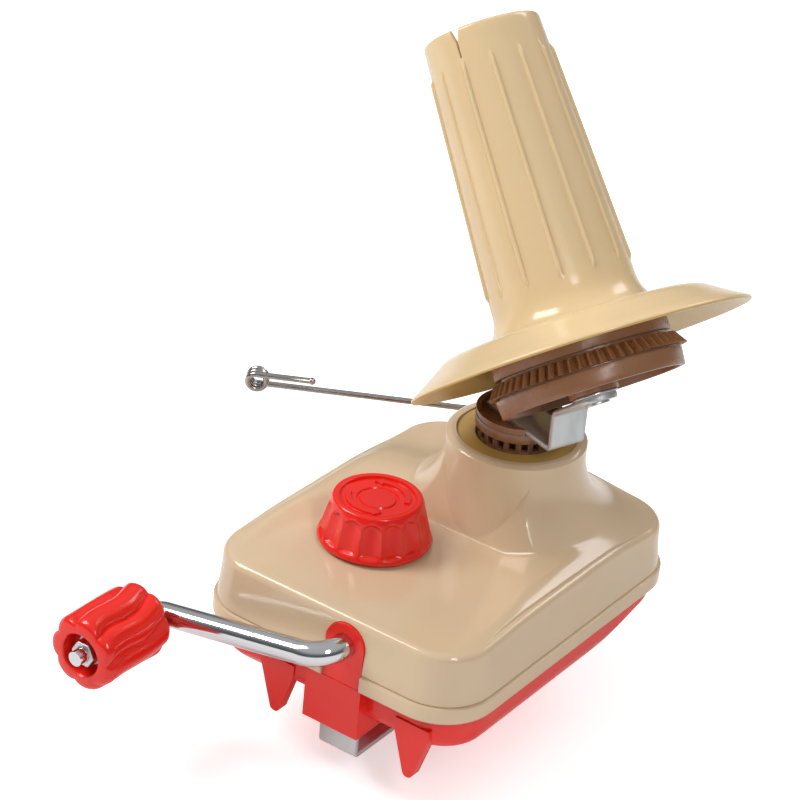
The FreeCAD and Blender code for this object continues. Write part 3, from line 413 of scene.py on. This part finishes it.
def cover_loops():
    """Closed run of loops: up the outside, over the deck, into the neck and back along the inside."""
    angles = [TURN * (i + 0.5) / RAYS for i in range(RAYS)]
    edge_height = []
    for angle in angles:
        reach = outline_distance(angle, 4.5)
        edge_height.append(cover_height(reach * math.cos(angle), reach * math.sin(angle)))

    def ring(inset_of, height_of):
        loop = []
        for index, angle in enumerate(angles):
            reach = outline_distance(angle, inset_of(index))
            loop.append(Vector((reach * math.cos(angle), reach * math.sin(angle), height_of(index))))
        return loop

    def wall_inset(height):
        return LIP_STEP + (height - EDGE_BOTTOM) * DRAFT

    loops = [
        ring(lambda i: WALL + LIP_STEP, lambda i: EDGE_BOTTOM),
        ring(lambda i: 0.4, lambda i: EDGE_BOTTOM),
        ring(lambda i: 0.0, lambda i: EDGE_BOTTOM + 0.5),
        ring(lambda i: 0.0, lambda i: LIP_TOP - 0.5),
        ring(lambda i: 0.15, lambda i: LIP_TOP - 0.1),
        ring(lambda i: wall_inset(LIP_TOP) + 0.35, lambda i: LIP_TOP),
        ring(lambda i: wall_inset(LIP_TOP) + 0.35, lambda i: LIP_TOP + 0.3),
        ring(lambda i: wall_inset(LIP_TOP) + 0.02, lambda i: LIP_TOP + 0.45)]
    for part in (0.25, 0.5, 0.75):
        loops.append(ring(
            lambda i: wall_inset(LIP_TOP + part * (edge_height[i] - LIP_TOP)),
            lambda i: LIP_TOP + part * (edge_height[i] - EDGE_ROUND - LIP_TOP)))
    for step in range(8):
        turn = math.radians(90 * step / 7)
        loops.append(ring(
            lambda i: wall_inset(edge_height[i] - EDGE_ROUND) + EDGE_ROUND * (1 - math.cos(turn)),
            lambda i: edge_height[i] - EDGE_ROUND * (1 - math.sin(turn))))
    rim = loops[-1]
    top, under = [], []
    for row in range(DECK_ROWS + 1):
        part = 1 - (1 - row / DECK_ROWS) ** 1.3
        upper, lower = [], []
        for index, angle in enumerate(angles):
            reach = rim[index].xy.length
            radius = reach + (NECK_R - reach) * part
            x, y = radius * math.cos(angle), radius * math.sin(angle)
            point = Vector((x, y, BELL_START if row == DECK_ROWS else cover_height(x, y)))
            if row:
                upper.append(point)
            if row % 3 == 0:
                inner = point - cover_normal(x, y) * WALL
                if row == DECK_ROWS:
                    inner = Vector((x, y, 0)) * ((NECK_R - WALL) / NECK_R) + Vector((0, 0, BELL_START))
                lower.append(inner)
        if upper:
            top.append(upper)
        if lower:
            under.append(lower)
    loops += top
    ledge = NECK_TOP - LEDGE_DROP
    neck = [
        (NECK_R, NECK_TOP - 1.2), (NECK_R - 0.25, NECK_TOP - 0.9), (NECK_R - 1.5, NECK_TOP - 0.1),
        (NECK_R - 1.9, NECK_TOP), (DISH_R + 0.3, NECK_TOP), (DISH_R, NECK_TOP - 0.2), (DISH_R - 0.1, ledge),
        (WELL_R + 0.4, ledge), (WELL_R, NECK_TOP - 1.0), (WELL_R, WELL_FLOOR), (POST_WAY_R, WELL_FLOOR),
        (POST_WAY_R, POST_WAY_LOW), (SOCKET_R, POST_WAY_LOW), (SOCKET_R, SOCKET_TOP),
        (NECK_R - WALL, SOCKET_TOP)]
    loops += [circle(radius, height, RAYS, angles[0]) for radius, height in neck]
    loops += under[::-1][1:]
    for height in (DECK - 8, LIP_TOP):
        loops.append(ring(lambda i: WALL + wall_inset(height), lambda i: height))
    return loops


def arch_outline(half, low, high):
    """Doorway outline (x, z) with a half-round head."""
    angles = [math.pi * i / 16 for i in range(17)]
    head = [(half * math.cos(angle), high + half * math.sin(angle)) for angle in angles]
    return [(half, low)] + head + [(-half, low)]


def make_cover():
    points, faces = lattice(cover_loops(), close_loops=True)
    cover = make_piece("cover_shell", points, faces, "beige_plastic", "housing")
    front = COVER_LOW.y
    slot = prism(
        arch_outline(FRONT_SLOT_HALF, -2.0, SHAFT_HEIGHT), (front - 2, front + 7), lambda x, z, y: (x, y, z))
    rings = [circle(SCREW_HOLE_R, height, 32) for height in (DECK - 6, DECK + 3)]
    points, faces = lattice(rings, cap_first=True, cap_last=True)
    screw = placed(points, Matrix.Translation((KNOB_X, KNOB_Y, 0))), faces
    carve(cover, cutter(*slot), cutter(*screw))
    # Painted shade and bounce glow: the dish and well at the neck's top, under the spool's plate, get a
    # darker golden colour.
    paint_shade_on_faces(
        cover, "painted_golden_shade",
        lambda spot, normal: spot.xy.length < DISH_R + 0.2 and spot.z > WELL_FLOOR - 1)
    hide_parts("top_cover")
    make_guide_boss()


def make_guide_boss():
    """Tapered post on the cover that carries the bush of the yarn guide."""
    spot = Matrix.Translation(((BUSH_LOW.x + BUSH_HIGH.x) / 2, (BUSH_LOW.y + BUSH_HIGH.y) / 2, 0))
    boss = [(GUIDE_HOLE_R, 30.0), (5.9, 30.0), (5.6, 36.0), (5.1, 40.0)]
    boss += quarter(4.2, 49.1, 0.9, 0, 90, 4) + [(GUIDE_HOLE_R, 50.0)]
    points, faces = lattice([circle(radius, height, 48) for radius, height in boss], close_loops=True)
    make_piece("cover_guide_boss", placed(points, spot), faces, "beige_plastic", "housing")


# ---------------------------------------------------------------- knob

FLUTES = 15
FLUTE_STEPS = 14
FLUTE_DEPTH = 1.25
KNOB_RISE = KNOB_HIGH.z - KNOB_LOW.z
KNOB_FOOT_R = (KNOB_HIGH.x - KNOB_LOW.x) / 2
KNOB_TOP_R = 14.6
KNOB_BAND, KNOB_LIP = 1.8, 1.9
ARROW_INNER, ARROW_OUTER = 8.6, 10.6


def knob_section():
    """Outer skin from foot to lip, then the recessed top, as (radius, height, fluted or not)."""
    section = [(KNOB_FOOT_R - 0.5, 0.0, 0), (KNOB_FOOT_R - 0.1, 0.25, 0), (KNOB_FOOT_R, 0.6, 0)]
    rows = 26
    for row in range(rows + 1):
        height = KNOB_BAND + (KNOB_RISE - KNOB_LIP - KNOB_BAND) * row / rows
        radius = KNOB_FOOT_R + (KNOB_TOP_R - KNOB_FOOT_R) * height / KNOB_RISE
        section.append((radius, height, 1))
    lip = quarter(KNOB_TOP_R - 1.0, KNOB_RISE - 1.1, 1.1, 10, 90, 6)
    top = [(KNOB_TOP_R - 2.0, 0), (KNOB_TOP_R - 2.3, 0.15), (KNOB_TOP_R - 2.5, 0.9)]
    groove = [(6.9, 1.0), (6.6, 1.5), (6.0, 1.5), (5.7, 1.0), (0.6, 0.9)]
    section += [(radius, height, 0) for radius, height in lip]
    section += [(radius, KNOB_RISE - drop, 0) for radius, drop in top + groove]
    return section


def make_knob():
    count = FLUTES * FLUTE_STEPS
    foot = [(9.0, 0.4), (KNOB_FOOT_R - 3.5, 0.4), (KNOB_FOOT_R - 3.3, 0.0)]
    loops = [circle(radius, height, count) for radius, height in foot]
    for radius, height, fluted in knob_section():
        loop = []
        for index in range(count):
            across = (index % FLUTE_STEPS) / FLUTE_STEPS * 2 - 1
            reach = radius
            if fluted:
                arch = KNOB_RISE - 2.0 - 1.5 * across * across
                share = smooth_step(0, 1.3, arch - height) * smooth_step(0, 0.9, height - KNOB_BAND)
                reach -= FLUTE_DEPTH * (1 - across * across) * share
            angle = TURN * index / count
            loop.append(Vector((reach * math.cos(angle), reach * math.sin(angle), height)))
        loops.append(loop)
    points, faces = lattice(loops, cap_first=True, cap_last=True)
    place = Matrix.Translation((KNOB_X, KNOB_Y, KNOB_LOW.z))
    knob = make_piece("knob_body", placed(points, place), faces, "red_plastic", "knob", sharp=38)
    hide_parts("clamp_knob")
    make_knob_marks(place)


def make_knob_marks(place):
    """Two raised curved arrows on the recessed top that show the turning direction."""
    low, high = KNOB_RISE - 1.1, KNOB_RISE - 0.35
    arrows = []
    for start in (20, 200):
        stations = [(start + 6 * i, 0.0) for i in range(17)] + [(start + 96, 1.1), (start + 112, -0.95)]
        loops = []
        for degrees, extra in stations:
            angle = math.radians(degrees)
            inner, outer = ARROW_INNER - extra, ARROW_OUTER + extra
            corners = ((inner, low), (outer, low), (outer - 0.2, high), (inner + 0.2, high))
            loops.append([
                Vector((radius * math.cos(angle), radius * math.sin(angle), height))
                for radius, height in corners])
        arrows.append(lattice(loops, cap_first=True, cap_last=True))
    points, faces = joined(arrows)
    make_piece("knob_arrows", placed(points, place), faces, "red_plastic", "knob")


# ---------------------------------------------------------------- crank grip

GRIP_LOBES = 7
GRIP_R = (GRIP_HIGH.z - GRIP_LOW.z) / 2
GRIP_LENGTH = GRIP_HIGH.y - GRIP_LOW.y
GRIP_GROOVE = 2.3
GRIP_BORE_R = 2.6
NUT_POCKET_R = 7.0


def grip_loop(height, scale, lobed, count):
    loop = []
    for index in range(count):
        angle = TURN * index / count
        wander = 0.10 * math.sin(height * 0.25) + 0.012 * height
        across = ((angle + wander) / TURN * GRIP_LOBES) % 1 * 2 - 1
        radius = (GRIP_R - GRIP_GROOVE * lobed * abs(across) ** 2.6) * scale
        loop.append(Vector((radius * math.cos(angle), radius * math.sin(angle), height)))
    return loop


def make_grip():
    """Lobed grip about the crank's end; local z runs from the outer end back to the crank."""
    count = 196
    centre = Matrix.Translation((
        (GRIP_LOW.x + GRIP_HIGH.x) / 2, GRIP_LOW.y, (GRIP_LOW.z + GRIP_HIGH.z) / 2))
    place = centre @ Matrix.Rotation(math.radians(-90), 4, "X")
    pocket = [
        (GRIP_BORE_R, 5.9), (NUT_POCKET_R - 0.1, 5.9), (NUT_POCKET_R, 5.6), (NUT_POCKET_R + 0.1, 0.5),
        (NUT_POCKET_R + 0.5, 0.05)]
    loops = [circle(radius, height, count) for radius, height in pocket]
    for part in (0.0, 0.12, 0.25, 0.4, 0.55, 0.7, 0.85, 1.0):
        scale = 0.80 + 0.20 * math.sqrt(1 - (1 - part) ** 2)
        loops.append(grip_loop(0.05 + 3.4 * part, scale, 0.55 + 0.45 * part, count))
    for row in range(1, 24):
        loops.append(grip_loop(3.5 + (GRIP_LENGTH - 6.6) * row / 24, 1.0, 1.0, count))
    for part in (1.0, 0.85, 0.7, 0.55, 0.4, 0.2, 0.0):
        scale = 0.82 + 0.18 * math.sqrt(1 - (1 - part) ** 2)
        loops.append(grip_loop(GRIP_LENGTH - 3.1 * part, scale, 0.6 + 0.4 * part, count))
    inner_end = [(5.0, 0), (4.8, 0.2), (4.8, 3.2), (GRIP_BORE_R, 3.2)]
    loops += [circle(radius, GRIP_LENGTH - depth, count) for radius, depth in inner_end]
    points, faces = lattice(loops, close_loops=True)
    grip = make_piece("grip_body", placed(points, place), faces, "red_plastic", "grip", sharp=40)
    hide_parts("crank_grip")


# ---------------------------------------------------------------- spool

SPOOL_TILT = math.radians(39.3)
ARM_HEADING = math.radians(-19.3)
SPOOL_APEX = 140.5
SPOOL_FRAME = (
    Matrix.Translation((0, 0, SPOOL_APEX)) @ Matrix.Rotation(ARM_HEADING, 4, "Z")
    @ Matrix.Rotation(-SPOOL_TILT, 4, "Y"))
SPOOL_RIBS = 13
FIRST_RIB = math.radians(-33.4)
RIB_LOW, RIB_HIGH, RIB_RISE = -18.0, 53.4, 0.85
RIB_HALF = math.radians(2.1)
PLATE_FLAT = -31.4
PLATE_RIM = -40.7
PLATE_R = 55.2
PLATE_WALL = 2.0
CREASE_R = 41.0
TUBE_WALL = 1.8
HUB_R, HUB_BORE_R, HUB_TOP = 8.0, 3.1, -28.0
FOOT_R, TOP_R, TUBE_TOP = 23.2, 18.8, 64.5
FOOT_TOP = PLATE_FLAT + 11.0


def spool_section():
    """Outer skin of the spool from the plate's rim to the tube's mouth."""
    section = quarter(PLATE_R - 0.75, PLATE_RIM + 0.1, 0.75, -60, 60, 5)
    slope = (PLATE_FLAT - PLATE_RIM - 0.9) / (PLATE_R - 0.7 - CREASE_R)
    for part in (0.35, 0.7):
        section.append((PLATE_R - 0.7 - part * 10.5, PLATE_RIM + 0.8 + part * 10.5 * slope))
    for step in range(7):
        part = step / 6
        radius = CREASE_R + 3.4 - 6.0 * part
        height = PLATE_FLAT - slope * 3.4 * (1 - part) ** 2
        section.append((radius, height))
    section += [(34.5, PLATE_FLAT), (30.0, PLATE_FLAT), (27.4, PLATE_FLAT + 0.05)]
    for step in range(1, 13):
        part = step / 12
        section.append((FOOT_R + 4.2 * (1 - part) ** 2.6, PLATE_FLAT + 0.1 + 11.0 * part ** 1.15))
    rows = 46
    for row in range(1, rows + 1):
        height = FOOT_TOP + (TUBE_TOP - 1.6 - FOOT_TOP) * row / rows
        section.append((tube_radius(height), height))
    section += quarter(TOP_R - 1.3, TUBE_TOP - 1.3, 1.3, 15, 90, 5)
    section += [(TOP_R - 1.9, TUBE_TOP - 0.2), (TOP_R - 2.0, TUBE_TOP - 1.0), (tube_radius(0) - 1.9, 0.0)]
    bore, floor, under = FOOT_R - TUBE_WALL, PLATE_FLAT + 2.0, PLATE_FLAT - PLATE_WALL
    section += [(bore, FOOT_TOP), (bore, floor), (HUB_R, floor), (HUB_R, HUB_TOP), (HUB_BORE_R, HUB_TOP)]
    section += [(HUB_BORE_R, under), (27.0, under), (CREASE_R - 2.5, under)]
    section += [(CREASE_R - 0.6, PLATE_FLAT - 2.3), (PLATE_R - 1.6, PLATE_RIM - 0.5)]
    return section


def tube_radius(height):
    return FOOT_R + (TOP_R - FOOT_R) * (height - FOOT_TOP) / (TUBE_TOP - FOOT_TOP)


def make_spool():
    across = [-1.0, -0.8, -0.5, -0.22, 0.0, 0.22, 0.5, 0.8, 1.0]
    gap = TURN / SPOOL_RIBS
    angles = []
    for rib in range(SPOOL_RIBS):
        middle = FIRST_RIB + rib * gap
        angles += [(middle + RIB_HALF * share, math.sqrt(1 - share * share)) for share in across]
        rest = gap - 2 * RIB_HALF
        angles += [(middle + RIB_HALF + rest * i / 14, 0.0) for i in range(1, 14)]
    loops = []
    for radius, height in spool_section():
        ends = smooth_step(0, 1.2, height - RIB_LOW) * smooth_step(0, 1.2, RIB_HIGH - height)
        outer = ends if abs(radius - tube_radius(height)) < 0.05 else 0.0
        loop = []
        for angle, raised in angles:
            reach = radius + RIB_RISE * outer * raised
            loop.append(Vector((reach * math.cos(angle), reach * math.sin(angle), height)))
        loops.append(loop)
    points, faces = lattice(loops, close_loops=True)
    spool = make_piece("spool_body", placed(points, SPOOL_FRAME), faces, "cream_plastic", "spool", sharp=36)
    # The yarn notch: a funnel in the tube's mouth that runs down into a narrow slit.
    half = [(1.6, -1.0), (1.5, 0.5), (0.35, 4.6), (0.3, 9.5)]
    outline = [(-side, TUBE_TOP - drop) for side, drop in half]
    outline += [(side, TUBE_TOP - drop) for side, drop in reversed(half)]
    points, faces = prism(outline, (12.0, 26.0), lambda y, z, x: (x, y, z))
    turn = SPOOL_FRAME @ Matrix.Rotation(FIRST_RIB - gap, 4, "Z")
    carve(spool, cutter(placed(points, turn), faces))
    # Painted shade and bounce glow: the plate's downward faces get a darker golden colour.
    paint_shade_on_faces(
        spool, "painted_golden_shade",
        lambda spot, normal: normal.z < -0.3 and spot.z < PLATE_FLAT - 0.5, SPOOL_FRAME)
    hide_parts("winding_spool")


# ---------------------------------------------------------------- bent strips

SHEET = 2.0
RIM = 0.3
BEND_STEPS = 8
ROUND_END = (0, 20, 40, 55, 68, 78, 86)
ARM_REACH, ARM_HALF, SEAT_DEPTH, ARM_START = 25.3, 6.75, 55.6, -9.0
CUP_DEPTH = 2.1
LEG_HEIGHT, STRIP_WIDTH, STRIP_LEFT, JAW_REACH = 13.0, 14.4, 9.0, 45.0


def rounded_path(corners, radius):
    """Points of a path in a plane whose inner corners are rounded."""
    path = [Vector(corners[0])]
    for before, corner, after in zip(corners, corners[1:], corners[2:]):
        corner = Vector(corner)
        back = (Vector(before) - corner).normalized()
        ahead = (Vector(after) - corner).normalized()
        half = math.acos(max(-1.0, min(1.0, back.dot(ahead)))) / 2
        reach = radius / math.tan(half)
        centre = corner + (back + ahead).normalized() * (radius / math.sin(half))
        first, last = corner + back * reach - centre, corner + ahead * reach - centre
        for step in range(BEND_STEPS + 1):
            share = step / BEND_STEPS
            path.append(centre + (first * (1 - share) + last * share).normalized() * radius)
    path.append(Vector(corners[-1]))
    return path


def strip_loops(path, half_width, round_end=False):
    """Sheet of constant thickness along a path of (across, up) points, as loops of (across, side, up)."""
    if round_end:
        tip, before = path[-1], path[-2]
        way = (tip - before).normalized()
        centre = tip - way * half_width
        path = path[:-1] + [centre + way * half_width * math.sin(math.radians(turn)) for turn in ROUND_END]
    loops = []
    rim, thick = RIM, SHEET / 2
    for index, point in enumerate(path):
        way = (path[min(index + 1, len(path) - 1)] - path[max(index - 1, 0)]).normalized()
        up = Vector((-way.y, way.x))
        half = half_width
        if round_end and index >= len(path) - len(ROUND_END):
            half = math.sqrt(max(half_width ** 2 - (point - centre).length ** 2, 0.2))
        loop = []
        for side, rise in (
                (-1, rim - thick), (-1, thick - rim), (rim / half - 1, thick), (1 - rim / half, thick),
                (1, thick - rim), (1, rim - thick), (1 - rim / half, -thick), (rim / half - 1, -thick)):
            spot = point + up * rise
            loop.append(Vector((spot.x, side * half, spot.y)))
        loops.append(loop)
    return loops


def make_arm_strip():
    """Bent arm: along the cup floor, up the web and out along the tilted seat to a round end."""
    floor = CUP_TOP - CUP_DEPTH + SHEET / 2
    web = ARM_REACH - SHEET / 2
    depth = SEAT_DEPTH + SHEET / 2
    across, rise = math.cos(SPOOL_TILT), math.sin(SPOOL_TILT)
    seat = Vector((depth * rise, SPOOL_APEX - depth * across))
    slope = Vector((across, rise))
    bend = seat + slope * ((web - seat.x) / across)
    corners = [(ARM_START, floor), (web, floor), tuple(bend), tuple(seat + slope * ARM_HALF)]
    loops = strip_loops(rounded_path(corners, 2.0), ARM_HALF, round_end=True)
    points, faces = lattice(loops, cap_first=True, cap_last=True)
    points = placed(points, Matrix.Rotation(ARM_HEADING, 4, "Z"))
    strip = make_piece("arm_strip", points, faces, "zinc_steel", "arm", sharp=50)
    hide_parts("arm_bracket")


def make_clamp_strip():
    """Bent clamp: leg inside the tray, web down the front, jaw back under the table and a small lip."""
    top = LEG_HEIGHT + SHEET / 2
    front, low = JAW_LOW.y + SHEET / 2, JAW_LOW.z + SHEET / 2
    tip = JAW_LOW.y + JAW_REACH - SHEET / 2
    corners = [(front + 20, top), (front, top), (front, low), (tip, low), (tip, low + SHEET / 2 + 1.5)]
    loops = strip_loops(rounded_path(corners, 1.3), STRIP_WIDTH / 2)
    points, faces = lattice(loops, cap_first=True, cap_last=True)
    left, right = -STRIP_LEFT, STRIP_WIDTH - STRIP_LEFT
    middle = STRIP_WIDTH / 2 - STRIP_LEFT
    bent = [Vector((middle - spot.y, spot.x, spot.z)) for spot in points], faces
    # The leg widens into a tongue under the knob; its faces lie just inside the bent strip's.
    outline = [
        (left, front + 12), (right, front + 12), (right, front + 21), (KNOB_X + 9, KNOB_Y + 9),
        (KNOB_X - 9, KNOB_Y + 9), (KNOB_X - 9, KNOB_Y - 7), (left, front + 17)]
    tongue = prism(outline, (LEG_HEIGHT + 0.02, LEG_HEIGHT + SHEET - 0.02), lambda x, y, z: (x, y, z))
    points, faces = joined([bent, tongue])
    strip = make_piece("clamp_strip", points, faces, "zinc_steel", "clamp", sharp=50)
    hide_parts("clamp_bracket")


# ---------------------------------------------------------------- guide tip

GUIDE_TAIL_ANGLE = math.radians(30.3)
GUIDE_TAIL_LOW = 58.5
WIRE_WIDTH = 2.1
TIP_R = 1.25


def make_guide_tip():
    """Small ball that closes the free end of the guide wire, found as the far end of its tail."""
    way = Vector((math.cos(GUIDE_TAIL_ANGLE), math.sin(GUIDE_TAIL_ANGLE), 0))
    wire = [vertex.co / MM for vertex in frame["nodes"]["yarn_guide"].data.vertices]
    wire = [spot for spot in wire if spot.z > GUIDE_TAIL_LOW]
    far_end = max(wire, key=way.dot)
    tail = [spot for spot in wire if (spot - far_end).length < WIRE_WIDTH]
    centre = sum(tail, Vector()) / len(tail)
    rows = 10
    loops = []
    for row in range(1, rows):
        turn = math.pi * row / rows
        loops.append(circle(TIP_R * math.sin(turn), -TIP_R * math.cos(turn), 20))
    points, faces = lattice(loops, cap_first=True, cap_last=True)
    make_piece("guide_wire_tip", placed(points, Matrix.Translation(centre)), faces, "wire_steel", "guide")


# ---------------------------------------------------------------- CAD pieces that stay

# Width of the worn-off edge of a CAD piece, where it isn't the usual one.
USUAL_EDGE = 0.2
EDGE_WIDTH = {
    "base_tray": 0.5, "clamp_nut": 0.4, "clamp_screw": 0.3, "crank_handle": 0.3, "grip_nut": 0.5,
    "spool_gear": 0.16, "sun_gear": 0.12, "drive_gear": 0.12, "drive_pinion": 0.12, "arm_hub": 0.3,
}
REMADE = {"top_cover", "clamp_knob", "crank_grip", "winding_spool", "arm_bracket", "clamp_bracket"}


def dress(node, slot, width):
    """Keeps a CAD body and gives it its finish and worn-off edges."""
    item = frame["nodes"][node]
    item.data.materials.clear()
    item.data.materials.append(MATERIALS[slot])
    weld = item.modifiers.new("weld", "WELD")
    weld.merge_threshold = 0.001 * MM
    edges = item.modifiers.new("edges", "BEVEL")
    edges.width = width * MM
    edges.segments = 2
    edges.limit_method = "ANGLE"
    edges.angle_limit = math.radians(35)
    edges.harden_normals = True


def dress_frame():
    for part in frame["record"]["subparts"]:
        node = part["node"]
        if node not in REMADE:
            dress(node, part["material_slot"], EDGE_WIDTH.get(node, USUAL_EDGE))


# ---------------------------------------------------------------- room, light and camera

FLOOR_HALF, FLOOR_HEIGHT = 3.0, -0.0275
FLOOR_GLOW = 0.5
SKY_STRENGTH = 0.62
# (height share, brightness) from straight down to straight up.
SKY = ((0.0, 0.75), (0.44, 0.60), (0.52, 0.16), (0.66, 0.26), (0.80, 0.80), (1.0, 0.9))
CAMERA_YAW, CAMERA_PITCH, CAMERA_ROLL = math.radians(-33.23), math.radians(-29.01), math.radians(5.55)
CAMERA_SPOT = Vector((0.4134, -0.7018, 0.5252))
CAMERA_LENS, SENSOR_WIDTH = 129.8, 36


def area_light(name, energy, size, spot, target, colour=(1, 1, 1), size_y=None):
    lamp = bpy.data.lights.new(name, "AREA")
    lamp.energy = energy
    lamp.color = colour
    lamp.shape = "RECTANGLE"
    lamp.size = size
    lamp.size_y = size_y or size
    item = bpy.data.objects.new(name, lamp)
    bpy.context.scene.collection.objects.link(item)
    item.location = spot
    item.rotation_euler = (Vector(target) - Vector(spot)).to_track_quat("-Z", "Y").to_euler()


def make_room():
    mesh = bpy.data.meshes.new("floor")
    far = FLOOR_HALF
    corners = [(x, y, FLOOR_HEIGHT) for x, y in ((-far, -far), (far, -far), (far, far), (-far, far))]
    mesh.from_pydata(corners, [], [(0, 1, 2, 3)])
    floor = bpy.data.objects.new("floor", mesh)
    bpy.context.scene.collection.objects.link(floor)
    material, tree, shader = new_material("floor_paper")
    tint(tree, shader, (0.93, 0.93, 0.93), noise(tree, 3), 0.004)
    shader.inputs["Roughness"].default_value = 0.9
    shader.inputs["Specular IOR Level"].default_value = 0.1
    shader.inputs["Emission Color"].default_value = (1, 1, 1, 1)
    rays = tree.nodes.new("ShaderNodeLightPath")
    glow = tree.nodes.new("ShaderNodeMath")
    glow.operation = "MULTIPLY"
    glow.inputs[1].default_value = FLOOR_GLOW
    tree.links.new(rays.outputs["Is Camera Ray"], glow.inputs[0])
    tree.links.new(glow.outputs["Value"], shader.inputs["Emission Strength"])
    mesh.materials.append(material)
    make_world()
    area_light("key", 15.5, 0.55, (-0.95, -0.55, 1.15), (0, 0, 0.05), (1.0, 0.98, 0.95), 0.75)
    area_light("strip", 2.0, 0.14, (0.60, -0.45, 0.62), (0, 0, 0.05), (1.0, 1.0, 1.0), 0.4)
    area_light("back", 3.5, 0.5, (0.25, 0.95, 0.95), (0, 0, 0.10))


def make_world():
    """Pale room: bright overhead, darker at the horizon so that metal and gloss show their form."""
    world = bpy.data.worlds.new("studio")
    bpy.context.scene.world = world
    world.use_nodes = True
    tree = world.node_tree
    place = tree.nodes.new("ShaderNodeTexCoord")
    parts = tree.nodes.new("ShaderNodeSeparateXYZ")
    tree.links.new(place.outputs["Generated"], parts.inputs["Vector"])
    shade = tree.nodes.new("ShaderNodeValToRGB")
    while len(shade.color_ramp.elements) < len(SKY):
        shade.color_ramp.elements.new(0.5)
    for element, (spot, level) in zip(shade.color_ramp.elements, SKY):
        element.position = spot
        element.color = (level, level, level, 1)
    height = tree.nodes.new("ShaderNodeMapRange")
    height.inputs["From Min"].default_value = -1.0
    tree.links.new(parts.outputs["Z"], height.inputs["Value"])
    tree.links.new(height.outputs["Result"], shade.inputs["Fac"])
    tree.links.new(shade.outputs["Color"], tree.nodes["Background"].inputs["Color"])
    tree.nodes["Background"].inputs["Strength"].default_value = SKY_STRENGTH


def make_camera():
    yaw, pitch, roll = CAMERA_YAW, CAMERA_PITCH, CAMERA_ROLL
    forward = Vector((math.sin(yaw) * math.cos(pitch), math.cos(yaw) * math.cos(pitch), math.sin(pitch)))
    level = Vector((math.cos(yaw), -math.sin(yaw), 0))
    upright = level.cross(forward)
    right = level * math.cos(roll) + upright * math.sin(roll)
    up = upright * math.cos(roll) - level * math.sin(roll)
    lens = bpy.data.cameras.new("camera")
    lens.lens = CAMERA_LENS
    lens.sensor_width = SENSOR_WIDTH
    camera = bpy.data.objects.new("camera", lens)
    bpy.context.scene.collection.objects.link(camera)
    place = Matrix((right, up, -forward)).transposed().to_4x4()
    place.translation = CAMERA_SPOT
    camera.matrix_world = place
    bpy.context.scene.camera = camera
    bpy.context.scene.view_settings.view_transform = "Standard"


make_cover()
make_knob()
make_grip()
make_spool()
make_arm_strip()
make_clamp_strip()
make_guide_tip()
dress_frame()
make_room()
make_camera()
